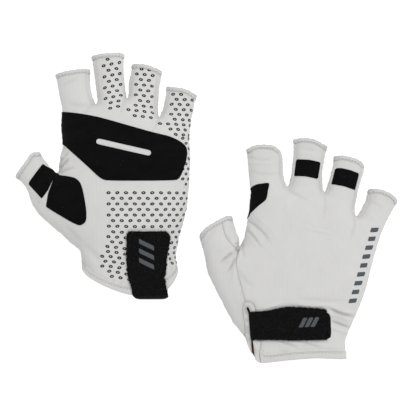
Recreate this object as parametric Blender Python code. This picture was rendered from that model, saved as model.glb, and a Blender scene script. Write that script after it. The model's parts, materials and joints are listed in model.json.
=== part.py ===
"""A pair of fingerless sailing gloves: the left one lies palm up, the right one lies back up.

Each glove is one smooth surface, puffed up from a flat outline whose finger, thumb and wrist
ends are open. Every panel, binding, patch and strap is a region of that surface, given its
own thickness. Lengths are millimetres until a mesh is made, +X is right, +Y is towards the
fingertips, +Z is up, and the origin is below the middle of the pair.
"""
import math

import bpy
import numpy as np
from mathutils import Vector
from mathutils.bvhtree import BVHTree
from mathutils.geometry import delaunay_2d_cdt

MM = 0.001
COLLECTION = "sailing_gloves"

SPACING = 8.0            # between the surface's inner points
EDGE_STEP = 6.5          # along an outline or a seam
SNAP = 0.35              # corners closer than this become one
MARGIN = 0.05            # slack when a place is compared with a line
OVERRUN = 0.8            # how far a split line is carried past the outline
INSET_OVERRUN = 1.5      # the same for a line parallel to a side
FINGER_REACH = 30.0      # a finger's sides lie within this of its tip
NARROWEST = 0.35         # keeps a border's sharp corners from being pulled too far
GAP = 0.5                # between neighbouring pieces
CLOTH = 0.9              # knitted panel thickness
LAYER = 0.8              # suede, loop and hook thickness
CLEAR = 0.3              # between stacked layers
STRAP = 1.2              # strap webbing thickness
HEM = 6.0                # width of the wrist binding
FOURCHETTE = 4.0         # how far a finger's side strip reaches onto its back and palm
SQUARENESS = 0.5         # of the left strap's fold round the wrist mouth, where 1 is an ellipse
REST = CLEAR + LAYER     # height of the lowest panel, which has a layer under it
THINNEST = 1.8           # half thickness of the glove anywhere off its edges
SOFT_FLOOR = 1.0         # how gently the underside flattens onto the ground
LIFT_SPAN = (-14.0, -38.0)  # where along Y the wrist rises over the strap beneath it
HIGH = 200.0             # well clear of both gloves, above or below
SHARP = math.radians(50)  # faces that meet at more than this keep a crisp edge

CENTRE = (0.17, -0.5, 0.0)  # middle of the pair in the drawing's own coordinates
DIGITS = ("thumb", "index", "middle", "ring", "little")  # in the order the outline meets them

PATCH = (CLEAR, CLEAR + LAYER)
HOOK_LEFT = PATCH
TAB_LEFT = (PATCH[1] + CLEAR, PATCH[1] + CLEAR + STRAP)
HOOK_RIGHT = (PATCH[1] + CLEAR, PATCH[1] + CLEAR + LAYER)
TAB_RIGHT = (HOOK_RIGHT[1] + CLEAR, HOOK_RIGHT[1] + CLEAR + STRAP)

COLOURS = {              # base colour, roughness
    "knit": ((0.68, 0.67, 0.65), 0.85),
    "suede": ((0.012, 0.012, 0.013), 0.8),
    "webbing": ((0.016, 0.016, 0.018), 0.9),
    "loop": ((0.02, 0.02, 0.022), 1.0),
}

# A side is a stretch whose front and back are joined, and a mouth is an open end.
LEFT = {
    "side": "left",
    "palm_up": True,
    "fullness": 0.52,
    "flatness": 0.034,
    "seam_height": (6.4, 13.6),
    "wrist_lift": 2.4,
    "heart": (-62.0, 12.0),
    "heart_reach": 62.0,
    "outline": [
        ("edge", [(-95.6, -30.6), (-107.6, -20), (-122.8, -7.8), (-130, 1.6), (-135.4, 15), (-143, 23.2)]),
        ("mouth", [(-143, 23.2), (-134.8, 34), (-130.4, 40.3), (-125.6, 41.3)]),
        ("edge", [(-125.6, 41.3), (-117, 30.2), (-111, 25.3), (-109.4, 36.5), (-107.2, 48), (-108, 60),
                  (-108.4, 74.4), (-113, 98.5)]),
        ("mouth", [(-113, 98.5), (-100.5, 101.6), (-87.6, 103.3)]),
        ("edge", [(-87.6, 103.3), (-86.6, 88.4), (-84.2, 79.6), (-82.5, 77.2), (-81.6, 79.6), (-83.2, 93),
                  (-85.6, 113)]),
        ("mouth", [(-85.6, 113), (-74.7, 114.3), (-61.6, 114.4)]),
        ("edge", [(-61.6, 114.4), (-62, 99.7), (-60.4, 84.5), (-59.3, 81.2), (-58.4, 84.5), (-57.8, 94),
                  (-55.4, 107)]),
        ("mouth", [(-55.4, 107), (-43.8, 105.8), (-33.5, 102.3)]),
        ("edge", [(-33.5, 102.3), (-35.7, 84.6), (-36, 71.2), (-35.2, 67.6), (-33.4, 71.2), (-31, 79.5),
                  (-29.7, 90.3)]),
        ("mouth", [(-29.7, 90.3), (-19, 88.8), (-8.2, 84)]),
        ("edge", [(-8.2, 84), (-12.4, 58), (-12, 32), (-14.6, 0), (-20.3, -23), (-22.9, -38.2),
                  (-22.2, -49.6), (-29.2, -61)]),
        ("mouth", [(-29.2, -61), (-55, -64.8), (-74.7, -59.1), (-89.9, -49.6), (-93.9, -37), (-95.6, -30.6)]),
    ],
    "splits": {
        "thumb": [(-110.6, 26.4), (-114.8, 17.7), (-125.6, -6.6)],
        "index": [(-108.6, 75.8), (-84.2, 80.4)],
        "middle": [(-82.2, 83.2), (-60.7, 85.8)],
        "ring": [(-58.2, 86.4), (-35.6, 83.2)],
        "little": [(-34.6, 70.6), (-10.8, 67.6)],
    },
    "tips": {"thumb": (-131, 24), "index": (-100, 92), "middle": (-72, 104), "ring": (-46, 96),
             "little": (-21, 82)},
    "fourchettes": {"index": ["inner"], "middle": ["outer", "inner"], "ring": ["outer", "inner"],
                    "little": ["outer"]},
    "slit": [(-86.0, -16.0), (-84.8, -70.0), (-87.8, -70.0)],
    "facing": [(-86.0, -10.0), (-79.6, -14.0), (-79.6, -70.0), (-93.0, -70.0), (-92.0, -14.0)],
    "patches": {
        "palm_grip_overlay": {
            "palm": [(-114, 72.2), (-108, 71.8), (-94.9, 70), (-77.2, 66.2), (-57, 60.5), (-38, 55.2),
                     (-27.9, 52.9), (-20.3, 49.7), (-15.8, 45.9), (-14.6, 41.5), (-15.2, 35.2), (-19, 23.8),
                     (-22.2, 20.4), (-50.6, 19.6), (-74, 20), (-79.1, 22.5), (-92.4, 34.6), (-107, 47),
                     (-114, 51)],
            "back": [(-114, 72.2), (-108, 71.6), (-101, 69.6), (-94.6, 68.4), (-95.4, 62), (-101, 54.5),
                     (-107, 47), (-114, 51)],
            "slot": [(-81.2, 51.5), (-80.4, 47.5), (-42.2, 38.7), (-41.4, 42.6)],
        },
        "thenar_patch": {
            "palm": [(-110.4, 24.4), (-109.5, 23.8), (-101.3, 22.8), (-96.8, 21), (-93.9, 17.5), (-91.8, 9.9),
                     (-89.7, -3), (-90.5, -10.4), (-93.7, -12.9), (-97.5, -11.7), (-107.6, -6.6),
                     (-119.2, 0.6), (-117.1, 10.4), (-114.2, 17.7)],
        },
        "thumb_grip_patch": {
            "digit": "thumb",
            "palm": [(-122.8, 32.4), (-133.5, 17.7), (-122.8, 6.7), (-115.4, 17.6), (-112.4, 23.8)],
        },
        "middle_back_patch": {
            "digit": "middle",
            "back": [(-84.0, 88), (-71.5, 89.5), (-59.6, 88.6), (-60.6, 100.5), (-72.8, 102), (-85.4, 100.5)],
        },
        "ring_back_patch": {
            "digit": "ring",
            "back": [(-59.2, 89.4), (-46.5, 88.2), (-34.0, 85.8), (-33.4, 96.4), (-46, 99), (-58.2, 100)],
        },
        "loop_patch": {
            "back": [(-52, -28), (-30, -28), (-31, -46), (-52, -50)],
        },
    },
}

RIGHT = {
    "side": "right",
    "palm_up": False,
    "fullness": 0.55,
    "flatness": 0.062,
    "seam_height": (6.4, 9.2),
    "wrist_lift": 0.0,
    "heart": (74.0, -42.0),
    "heart_reach": 66.0,
    "outline": [
        ("edge", [(29.8, -98), (26.3, -94), (19.9, -86), (9, -65.3), (0.9, -48), (-1.6, -31), (-4.1, -19.8)]),
        ("mouth", [(-4.1, -19.8), (4.4, -12.6), (10.7, -9.1), (19, -7.1)]),
        ("edge", [(19, -7.1), (23.4, -20.4), (25.4, -29.2), (28.6, -22.4), (31.5, -10), (33.2, 6),
                  (32.6, 22), (30.9, 43.5)]),
        ("mouth", [(30.9, 43.5), (42.4, 46.2), (54.5, 43.6), (57.4, 36.6)]),
        ("edge", [(57.4, 36.6), (57.6, 25), (59.2, 18.4), (60.8, 15.6), (62.6, 18.4), (64.9, 32.6),
                  (65.7, 50.5)]),
        ("mouth", [(65.7, 50.5), (74.7, 51.2), (82.7, 49.6), (90.4, 45)]),
        ("edge", [(90.4, 45), (87.4, 28), (87.3, 14.6), (88.6, 11.2), (90.4, 14.6), (94.4, 28),
                  (96.3, 37.8)]),
        ("mouth", [(96.3, 37.8), (108, 37), (118.4, 30.3)]),
        ("edge", [(118.4, 30.3), (113.6, 11.5), (111.4, -2.6), (112.6, -6.8), (115, -4), (119.8, 4.4),
                  (121.9, 13.4)]),
        ("mouth", [(121.9, 13.4), (133, 12.4), (143.3, 4.4)]),
        ("edge", [(143.3, 4.4), (132.8, -15.8), (126.5, -35.4), (117.9, -66.5), (108.4, -89.7),
                  (104.6, -100), (105, -113.7)]),
        ("mouth", [(105, -113.7), (81.6, -112), (56.2, -114.3), (40, -115.4), (33.6, -108), (29.8, -98)]),
    ],
    "splits": {
        "thumb": [(26.2, -28.4), (20.6, -34.4), (9.8, -39.6), (-1.6, -42.2)],
        "index": [(31.8, 19.8), (58.3, 20.4)],
        "middle": [(63.4, 20.6), (87.2, 19.0)],
        "ring": [(91.4, 16.0), (113.9, 10.4)],
        "little": [(115.4, -3.6), (136.2, -10.0)],
    },
    "tips": {"thumb": (7, -20), "index": (45, 35), "middle": (76, 42), "ring": (106, 28),
             "little": (131, 2)},
    "fourchettes": {"index": ["inner"], "middle": ["outer", "inner"], "ring": ["outer", "inner"],
                    "little": ["outer"]},
    "slit": [(31.5, -76.3), (31.8, -118.0), (35.0, -118.0)],
    "facing": [(31.5, -70.0), (37.4, -73.8), (39.6, -98.0), (40.2, -120.0), (24.0, -120.0), (27.4, -75.0)],
    "patches": {
        "palm_grip_overlay": {
            "palm": [(28, 16.6), (33, 16.4), (60, 9), (88, 3), (106, -6), (120, -22), (124.6, -33), (119, -41),
                     (97, -42), (72, -42), (62, -38), (46, -22), (32, -9), (28, -6)],
            "back": [(28, 15), (37.8, 17.1), (42.4, 18), (47, 18), (46.4, 13), (44.9, 6), (40.7, 2.4),
                     (36.1, -1.6), (33.2, -4.8), (31.0, -9), (28, -6)],
            "slot": [(65.4, -11.0), (64.6, -15.2), (102.6, -23.6), (103.4, -19.6)],
        },
        "thenar_patch": {
            "palm": [(26, -36), (36, -32), (44, -40), (47, -54), (45, -66), (39, -68), (26, -61), (13.6, -52),
                     (16, -43)],
        },
        "thumb_grip_patch": {
            "digit": "thumb",
            "palm": [(19, -18), (5, -20), (2.4, -33), (9.8, -37.2), (20, -32.2)],
        },
        "middle_back_patch": {
            "digit": "middle",
            "back": [(63.6, 24.0), (74.7, 23.4), (85.4, 21.2), (88.6, 33.6), (77, 35.8), (64.4, 36.2)],
        },
        "ring_back_patch": {
            "digit": "ring",
            "back": [(91.6, 17.8), (103.5, 15.9), (113.8, 12.8), (116.9, 25.1), (108.1, 28), (101.2, 29.5),
                     (95.2, 29.4)],
        },
        "loop_patch": {
            "back": [(66, -73.2), (91.4, -75.2), (95.2, -89), (95.2, -99.4), (66, -99.4)],
        },
    },
}

RIGHT_STRAP = [(33.4, -78.6), (45.9, -77.6), (60.8, -74.6), (72.4, -74.8), (89.2, -76.4), (92.4, -82),
               (93.6, -95), (92.2, -98.4), (88, -99.1), (40, -99.1), (35.4, -99.0)]
RIGHT_STRAP_FOLD = [(52.0, -72.0), (52.0, -102.0)]
RIGHT_STRAP_ROOT = 34.4  # a place just inside the sewn end
RIGHT_STRAP_WIDTH = (-99.0, -75.0)
RIGHT_STRAP_MIDDLE = -89.0
RIGHT_HOOK = [(68, -77.2), (88.6, -78.8), (91.4, -95.8), (68, -96.8)]

LEFT_TAB = [(-58.9, -59.0), (-58.4, -21.5), (-55.6, -17.8), (-30.6, -17.7), (-27.2, -21.8), (-29.7, -40),
            (-31, -58.0)]
LEFT_HOOK = [(-56.4, -44), (-56.0, -21.4), (-30.6, -21.4), (-31.8, -44)]
LEFT_FOLD = {"x": (-57.6, -31.6), "lip_y": -68.4, "top_y": -59.6, "under_y": -64.6, "root_y": -42.0}
LEFT_FOLD_COLUMNS = 7
LEFT_FOLD_ROWS = 11
LEFT_ROOT_ROWS = 5


# ---------------------------------------------------------------- flat shapes

def length_of(points):
    """Distance travelled up to each point."""
    steps = np.linalg.norm(np.diff(points, axis=0), axis=1)
    return np.concatenate([[0.0], np.cumsum(steps)])


def resample(points, step):
    """The same line with evenly spaced points, about one step apart."""
    points = np.asarray(points, float)
    travelled = length_of(points)
    count = max(1, round(travelled[-1] / step))
    wanted = np.linspace(0.0, travelled[-1], count + 1)
    return np.column_stack([np.interp(wanted, travelled, points[:, axis]) for axis in (0, 1)])


def smooth_line(points, step):
    """A smooth curve that keeps the given points, with others between them about a step apart."""
    points = np.asarray(points, float)
    padded = np.vstack([2 * points[0] - points[1], points, 2 * points[-1] - points[-2]])
    curve = []
    for p0, p1, p2, p3 in zip(padded, padded[1:], padded[2:], padded[3:]):
        parts = max(1, round(np.linalg.norm(p2 - p1) / step))
        start = 0.5 * (p2 - p0)
        end = 0.5 * (p3 - p1)
        for t in np.arange(parts) / parts:
            curve.append((1 - t) ** 2 * ((1 + 2 * t) * p1 + t * start)
                         + t * t * ((3 - 2 * t) * p2 - (1 - t) * end))
    return np.array(curve + [points[-1]])


def lengthen(line, distance):
    """The line with both ends carried straight on."""
    line = np.array(line, float)
    for end, inner in ((0, 1), (-1, -2)):
        way = line[end] - line[inner]
        line[end] += way / np.linalg.norm(way) * distance
    return line


def inside(polygon, points):
    """Which points lie in the polygon."""
    points = np.atleast_2d(points)
    result = np.zeros(len(points), bool)
    for a, b in zip(polygon, np.roll(polygon, -1, axis=0)):
        crosses = (a[1] > points[:, 1]) != (b[1] > points[:, 1])
        rise = b[1] - a[1] if b[1] != a[1] else 1e-9
        result ^= crosses & (points[:, 0] < a[0] + (points[:, 1] - a[1]) * (b[0] - a[0]) / rise)
    return result


def distance_to(line, points):
    """Distance from each point to a line of many segments."""
    points = np.atleast_2d(points)
    best = np.full(len(points), 1e9)
    for a, b in zip(line, line[1:]):
        span = b - a
        t = np.clip(((points - a) @ span) / max(span @ span, 1e-12), 0.0, 1.0)
        best = np.minimum(best, np.linalg.norm(points - (a + t[:, None] * span), axis=1))
    return best


def inset(line, distance):
    """A line parallel to one side of the outline, on its right, which is the inner side."""
    line = np.asarray(line)
    run = np.gradient(line, axis=0)
    run /= np.linalg.norm(run, axis=1)[:, None]
    return lengthen(line + distance * np.column_stack([run[:, 1], -run[:, 0]]), INSET_OVERRUN)


# ---------------------------------------------------------------- the glove's surface

class Surface:
    """One glove's whole skin: corners, triangles and what each triangle belongs to."""

    def __init__(self, spec, extra_lines):
        self.spec = spec
        self.lines = [(kind, smooth_line(points, EDGE_STEP)) for kind, points in spec["outline"]]
        self.border = np.vstack([line[:-1] for _, line in self.lines])
        self.mouths = [line for kind, line in self.lines if kind == "mouth"]
        self.hem = inset(self.mouths[-1], HEM)
        self.sides = self.finger_sides()
        self.splits = {digit: resample(lengthen(line, OVERRUN), EDGE_STEP)
                       for digit, line in spec["splits"].items()}
        seams = [resample(polygon + polygon[:1], EDGE_STEP) for polygon in self.polygons()]
        seams += [inset(side, FOURCHETTE) for side in self.sides.values()]
        seams += [self.hem] + list(self.splits.values())
        seams += [resample(line, EDGE_STEP) for line in extra_lines]
        self.flat, self.cells = self.triangulate(seams)
        self.cells = self.cells[~self.closed_corners()[self.cells].all(axis=1)]
        self.digit = self.find_digits()
        self.raise_surface()

    def polygons(self):
        spec = self.spec
        yield spec["slit"]
        yield spec["facing"]
        for patch in spec["patches"].values():
            for key in ("palm", "back", "slot"):
                if key in patch:
                    yield patch[key]

    def finger_sides(self):
        """The part of each finger's side beyond its split that has a fourchette."""
        sides = {}
        edges = [line for kind, line in self.lines if kind == "edge"]
        for digit, wanted in self.spec["fourchettes"].items():
            place = DIGITS.index(digit)
            split = np.asarray(self.spec["splits"][digit])
            tip = np.asarray(self.spec["tips"][digit])
            for which in wanted:
                line = edges[place] if which == "outer" else edges[place + 1]
                along = split[-1] - split[0]
                across = np.array([-along[1], along[0]])
                across *= np.sign((tip - split[0]) @ across)
                beyond = ((line - split[0]) @ across > -SPACING * np.linalg.norm(across)) \
                    & (np.linalg.norm(line - tip, axis=1) < FINGER_REACH)
                run = np.flatnonzero(beyond)
                half = line[run[0]:run[-1] + 1]
                lowest = np.argmin((half - split[0]) @ across)
                half = half[lowest:] if which == "outer" else half[:lowest + 1]
                sides[digit, which] = half
        return sides

    def triangulate(self, seams):
        """Join the outline, the seams and a field of inner points into triangles."""
        points = []
        edges = []
        for line in [line for _, line in self.lines] + seams:
            start = len(points)
            points += [tuple(p) for p in line]
            edges += [(start + k, start + k + 1) for k in range(len(line) - 1)]
        low = self.border.min(axis=0)
        high = self.border.max(axis=0)
        rows = np.arange(low[1], high[1], SPACING * math.sqrt(0.75))
        field = np.array([(x + SPACING * 0.5 * (k % 2), y) for k, y in enumerate(rows)
                          for x in np.arange(low[0], high[0], SPACING)])
        field = field[inside(self.border, field)]
        for line in [line for _, line in self.lines] + seams:
            field = field[distance_to(line, field) > 0.55 * SPACING]
        points += [tuple(p) for p in field]
        corners, _, cells, *_ = delaunay_2d_cdt([Vector(p) for p in points], edges, [], 0, SNAP)
        flat = np.array([tuple(p) for p in corners])
        cells = np.array([c for c in cells if len(c) == 3])
        a, b, c = (flat[cells[:, k]] for k in range(3))
        turn = (b - a)[:, 0] * (c - a)[:, 1] - (b - a)[:, 1] * (c - a)[:, 0]
        cells[turn < 0] = cells[turn < 0][:, ::-1]
        keep = inside(self.border, (a + b + c) / 3) & (np.abs(turn) > 1e-6)
        cells = cells[keep]
        used = np.unique(cells)
        renumber = np.full(len(flat), -1)
        renumber[used] = np.arange(len(used))
        return flat[used], renumber[cells]

    def find_digits(self):
        """Flood out from each fingertip as far as the digit's split line."""
        neighbours = {}
        for cell, corners in enumerate(self.cells):
            for k in range(3):
                neighbours.setdefault(frozenset((corners[k], corners[k - 1])), []).append(cell)
        centres = self.flat[self.cells].mean(axis=1)
        digit = np.full(len(self.cells), "hand", dtype=object)
        links = [[] for _ in self.cells]
        for edge, cells in neighbours.items():
            if len(cells) == 2:
                middle = self.flat[list(edge)].mean(axis=0)
                if all(distance_to(line, middle)[0] > SNAP for line in self.splits.values()):
                    links[cells[0]].append(cells[1])
                    links[cells[1]].append(cells[0])
        for name, tip in self.spec["tips"].items():
            seed = int(np.argmin(np.linalg.norm(centres - np.array(tip), axis=1)))
            pending = [seed]
            while pending:
                cell = pending.pop()
                if digit[cell] == "hand":
                    digit[cell] = name
                    pending += links[cell]
        return digit

    def half_thickness(self):
        """Puff the flat shape up as a membrane does: nil at its edges, free at its mouths."""
        flat = self.flat
        cells = self.cells
        count = len(flat)
        stiffness = np.zeros((count, count))
        share = np.zeros(count)
        for cell in cells:
            p = flat[cell]
            area = 0.5 * abs((p[1] - p[0])[0] * (p[2] - p[0])[1] - (p[1] - p[0])[1] * (p[2] - p[0])[0])
            share[cell] += area / 3
            sides = [p[2] - p[1], p[0] - p[2], p[1] - p[0]]
            for i in range(3):
                for j in range(3):
                    stiffness[cell[i], cell[j]] += sides[i] @ sides[j] / (4 * area)
        stiffness += np.diag(share * self.spec["flatness"] ** 2)
        on_edge = self.closed_corners()
        free = np.flatnonzero(~on_edge)
        pressure = np.zeros(count)
        pressure[free] = np.linalg.solve(stiffness[np.ix_(free, free)], 2 * share[free])
        half = self.spec["fullness"] * np.sqrt(np.maximum(pressure, 0.0))
        half[free] = np.maximum(half[free], THINNEST)
        return half, on_edge

    def closed_corners(self):
        """Corners on the outline, apart from those strictly inside a mouth."""
        seen = {}
        for cell in self.cells:
            for k in range(3):
                edge = frozenset((cell[k], cell[k - 1]))
                seen[edge] = seen.get(edge, 0) + 1
        closed = np.zeros(len(self.flat), bool)
        for edge, times in seen.items():
            middle = self.flat[list(edge)].mean(axis=0)
            if times == 1 and min(distance_to(line, middle)[0] for line in self.mouths) > SNAP:
                closed[list(edge)] = True
        return closed

    def raise_surface(self):
        half, closed = self.half_thickness()
        spec = self.spec
        low, high = spec["seam_height"]
        away = np.linalg.norm(self.flat - np.array(spec["heart"]), axis=1) / spec["heart_reach"]
        seam = REST + low + (high - low) * np.exp(-away ** 2)
        top = seam + half
        under = seam - half
        wrist = np.clip((self.flat[:, 1] - LIFT_SPAN[0]) / (LIFT_SPAN[1] - LIFT_SPAN[0]), 0.0, 1.0)
        floor = REST + spec["wrist_lift"] * wrist * wrist * (3 - 2 * wrist)
        bottom = 0.5 * (under + floor + np.sqrt((under - floor) ** 2 + SOFT_FLOOR ** 2))
        bottom = np.minimum(bottom, seam)
        bottom[closed] = seam[closed]
        top[closed] = seam[closed]
        count = len(self.flat)
        below = np.where(closed, np.arange(count), np.arange(count) + count)
        self.points = np.vstack([np.column_stack([self.flat, top]), np.column_stack([self.flat, bottom])])
        self.faces = np.vstack([self.cells, below[self.cells][:, ::-1]])
        self.is_top = np.arange(len(self.faces)) < len(self.cells)
        self.centres = np.vstack([self.flat[self.cells].mean(axis=1)] * 2)
        self.digits = np.concatenate([self.digit, self.digit])
        corners = self.points[self.faces]
        normals = np.cross(corners[:, 1] - corners[:, 0], corners[:, 2] - corners[:, 0])
        self.normals = np.zeros_like(self.points)
        for k in range(3):
            np.add.at(self.normals, self.faces[:, k], normals)
        self.normals /= np.maximum(np.linalg.norm(self.normals, axis=1), 1e-9)[:, None]
        self.tree = BVHTree.FromPolygons([Vector(p) for p in self.points], self.faces.tolist())

    def height(self, x, y):
        """Height of the glove's top at a place."""
        hit = self.tree.ray_cast(Vector((x, y, HIGH)), Vector((0, 0, -1)))[0]
        return hit.z

    def on(self, face):
        """Faces on the palm side or on the back side."""
        return self.is_top == ((face == "palm") == self.spec["palm_up"])

    def in_polygon(self, polygon):
        return inside(np.asarray(polygon, float), self.centres)


# ---------------------------------------------------------------- pieces

def make_material(name, kind):
    colour, roughness = COLOURS[kind]
    material = bpy.data.materials.new(name + "_" + kind)
    material.use_nodes = True
    shader = material.node_tree.nodes["Principled BSDF"]
    shader.inputs["Base Color"].default_value = (*colour, 1.0)
    shader.inputs["Roughness"].default_value = roughness
    shader.inputs["Metallic"].default_value = 0.0
    return material


def add_object(name, points, faces, kind, pivot=None):
    """A mesh object in the glove's collection, with its origin on its joint's axis."""
    points = np.asarray(points) - CENTRE
    origin = np.array(pivot, float) - CENTRE if pivot is not None else np.zeros(3)
    mesh = bpy.data.meshes.new(name)
    mesh.from_pydata([tuple((p - origin) * MM) for p in points], [], faces)
    mesh.materials.append(make_material(name, kind))
    mesh.shade_smooth()
    mesh.set_sharp_from_angle(angle=SHARP)
    mesh.update()
    piece = bpy.data.objects.new(name, mesh)
    piece.location = tuple(origin * MM)
    bpy.data.collections[COLLECTION].objects.link(piece)
    return piece


def border_pull(surface, faces):
    """Shift the region's border inwards by half a gap, along the surface."""
    edges = {}
    for face in faces:
        for k in range(3):
            a, b, c = face[k], face[(k + 1) % 3], face[(k + 2) % 3]
            edges[a, b] = c
    rim = [(a, b, c) for (a, b), c in edges.items() if (b, a) not in edges]
    directions = {}
    for a, b, c in rim:
        along = surface.points[b] - surface.points[a]
        along /= np.linalg.norm(along)
        inward = surface.points[c] - surface.points[a]
        inward -= along * (inward @ along)
        inward /= np.linalg.norm(inward)
        directions.setdefault(a, []).append(inward)
        directions.setdefault(b, []).append(inward)
    pull = {}
    for corner, ways in directions.items():
        total = np.sum(ways, axis=0)
        reach = max(total @ total / len(ways), NARROWEST)
        pull[corner] = total / reach * 0.5 * GAP
    return rim, pull


def shell(name, surface, chosen, inner, outer, kind, pivot=None):
    """Give a region of the surface its thickness.

    Both skins are offset along the whole glove's normals. Solidify would use the region's own,
    and neighbours would then cut into each other along the glove's edges.
    """
    faces = surface.faces[chosen]
    rim, pull = border_pull(surface, faces)
    used = np.unique(faces)
    place = {corner: k for k, corner in enumerate(used)}
    shift = np.array([pull.get(corner, np.zeros(3)) for corner in used])
    base = surface.points[used] + shift
    normals = surface.normals[used]
    points = np.vstack([base + outer * normals, base + inner * normals])
    count = len(used)
    solid = [[place[c] for c in face] for face in faces]
    solid += [[count + place[c] for c in face[::-1]] for face in faces]
    for a, b, _ in rim:
        solid.append([place[b], place[a], count + place[a], count + place[b]])
    return add_object(name, points, solid, kind, pivot)


def ribbon(name, rows, thickness, kind, pivot=None):
    """A strap swept through rows of points, as wide as each row."""
    rows = np.array(rows, float)
    count, width = rows.shape[:2]
    along = np.gradient(rows, axis=0)
    across = np.gradient(rows, axis=1)
    normals = np.cross(across, along)
    normals /= np.linalg.norm(normals, axis=2)[..., None]
    skins = np.concatenate([(rows + 0.5 * thickness * normals).reshape(-1, 3),
                            (rows - 0.5 * thickness * normals).reshape(-1, 3)])
    half = count * width
    index = np.arange(half).reshape(count, width)
    faces = []
    for i in range(count - 1):
        for j in range(width - 1):
            quad = [index[i, j], index[i, j + 1], index[i + 1, j + 1], index[i + 1, j]]
            faces.append([int(k) for k in quad])
            faces.append([int(k) + half for k in quad[::-1]])
    loop = list(index[0, :]) + list(index[1:, -1]) + list(index[-1, -2::-1]) + list(index[-2:0:-1, 0])
    for a, b in zip(loop, loop[1:] + loop[:1]):
        faces.append([int(b), int(a), int(a) + half, int(b) + half])
    return add_object(name, skins, faces, kind, pivot)


def hinge_point(surface, digit):
    """Middle of a digit's split line, at the palm-side skin, where the digit bends."""
    line = surface.splits[digit]
    corners = [p for p in surface.points if distance_to(line, p[:2])[0] < MARGIN]
    heights = [p[2] for p in corners]
    level = max(heights) + PATCH[1] if surface.spec["palm_up"] else min(min(heights) - PATCH[1], 0.0)
    middle = 0.5 * (line[0] + line[-1])
    return (middle[0], middle[1], level)


def build_digit(surface, digit):
    side = surface.spec["side"]
    mine = surface.digits == digit
    pivot = hinge_point(surface, digit)
    strips = np.zeros(len(surface.faces), bool)
    for which in surface.spec["fourchettes"].get(digit, []):
        strip = mine & (distance_to(surface.sides[digit, which], surface.centres) < FOURCHETTE - MARGIN)
        strips |= strip
        name = "%s_%s_fourchette_%s" % (side, digit, which)
        shell(name, surface, strip, -CLOTH, 0.0, "knit", pivot)
    for face in ("palm", "back"):
        chosen = mine & surface.on(face) & ~strips
        shell("%s_%s_%s" % (side, digit, face), surface, chosen, -CLOTH, 0.0, "knit", pivot)


def build_hand(surface):
    spec = surface.spec
    side = spec["side"]
    hand = surface.digits == "hand"
    back = surface.on("back")
    slit = surface.in_polygon(spec["slit"]) & back
    near_wrist = distance_to(surface.mouths[-1], surface.centres) < HEM - MARGIN
    binding = hand & near_wrist & ~slit
    facing = hand & back & surface.in_polygon(spec["facing"]) & ~slit & ~near_wrist
    rest = hand & ~slit & ~binding & ~facing
    shell(side + "_wrist_binding", surface, binding, -CLOTH, 0.0, "knit")
    shell(side + "_slit_facing", surface, facing, -CLOTH, 0.0, "knit")
    shell(side + "_palm_panel", surface, rest & ~back, -CLOTH, 0.0, "knit")
    shell(side + "_back_panel", surface, rest & back, -CLOTH, 0.0, "knit")


def build_patches(surface):
    spec = surface.spec
    for name, patch in spec["patches"].items():
        digit = patch.get("digit", "hand")
        chosen = np.zeros(len(surface.faces), bool)
        for face in ("palm", "back"):
            if face in patch:
                chosen |= surface.on(face) & surface.in_polygon(patch[face])
        if "slot" in patch:
            chosen &= ~(surface.on("palm") & surface.in_polygon(patch["slot"]))
        chosen &= surface.digits == digit
        pivot = hinge_point(surface, digit) if digit != "hand" else None
        kind = "loop" if name == "loop_patch" else "suede"
        shell("%s_%s" % (spec["side"], name), surface, chosen, *PATCH, kind, pivot)


def build_right_strap(surface):
    """The closed strap: a base from the slit and a tip that peels off the loop patch."""
    strap = surface.is_top & surface.in_polygon(RIGHT_STRAP)
    hook = surface.is_top & surface.in_polygon(RIGHT_HOOK)
    root_x = RIGHT_STRAP[0][0]
    fold_x = RIGHT_STRAP_FOLD[0][0]
    tip = surface.centres[:, 0] > fold_x
    top = surface.height(RIGHT_STRAP_ROOT, RIGHT_STRAP_MIDDLE)
    crest = max(surface.height(fold_x, y) for y in np.linspace(*RIGHT_STRAP_WIDTH, 9))
    root = (root_x, RIGHT_STRAP_MIDDLE, top + TAB_RIGHT[1])
    fold = (fold_x, RIGHT_STRAP_MIDDLE, crest + TAB_RIGHT[1] + CLEAR)
    shell("right_strap_base", surface, strap & ~tip, *TAB_RIGHT, "webbing", root)
    shell("right_strap_tab", surface, strap & tip, *TAB_RIGHT, "webbing", fold)
    shell("right_hook_pad", surface, hook, *HOOK_RIGHT, "loop", fold)


def build_left_strap(surface):
    """The opened strap: its root lies under the wrist and its tip is folded onto the palm."""
    tab = surface.is_top & surface.in_polygon(LEFT_TAB)
    hook = surface.is_top & surface.in_polygon(LEFT_HOOK)
    top_y = LEFT_FOLD["top_y"]
    under_y = LEFT_FOLD["under_y"]
    columns = np.linspace(*LEFT_FOLD["x"], LEFT_FOLD_COLUMNS)
    tops = [surface.height(x, top_y + 1.0) + 0.5 * sum(TAB_LEFT) for x in columns]
    floor = 0.5 * STRAP
    pivot_tab = (np.mean(columns), top_y + 0.4, max(tops) + STRAP)
    pivot_fold = (np.mean(columns), under_y - 0.2, 0.0)
    shell("left_strap_tab", surface, tab, *TAB_LEFT, "webbing", pivot_tab)
    shell("left_hook_pad", surface, hook, *HOOK_LEFT, "loop", pivot_tab)
    rows = []
    for turn in np.linspace(0.0, math.pi, LEFT_FOLD_ROWS):
        start = top_y if turn < math.pi / 2 else under_y
        y = start - (start - LEFT_FOLD["lip_y"]) * math.sin(turn) ** SQUARENESS
        rows.append([(x, y, 0.5 * (top + floor) + 0.5 * (top - floor) * math.cos(turn))
                     for x, top in zip(columns, tops)])
    ribbon("left_strap_fold", rows[::-1], STRAP, "webbing", pivot_fold)
    root = [[(x, y, floor) for x in columns]
            for y in np.linspace(under_y + GAP, LEFT_FOLD["root_y"], LEFT_ROOT_ROWS)]
    ribbon("left_strap_root", root, STRAP, "webbing")


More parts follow.
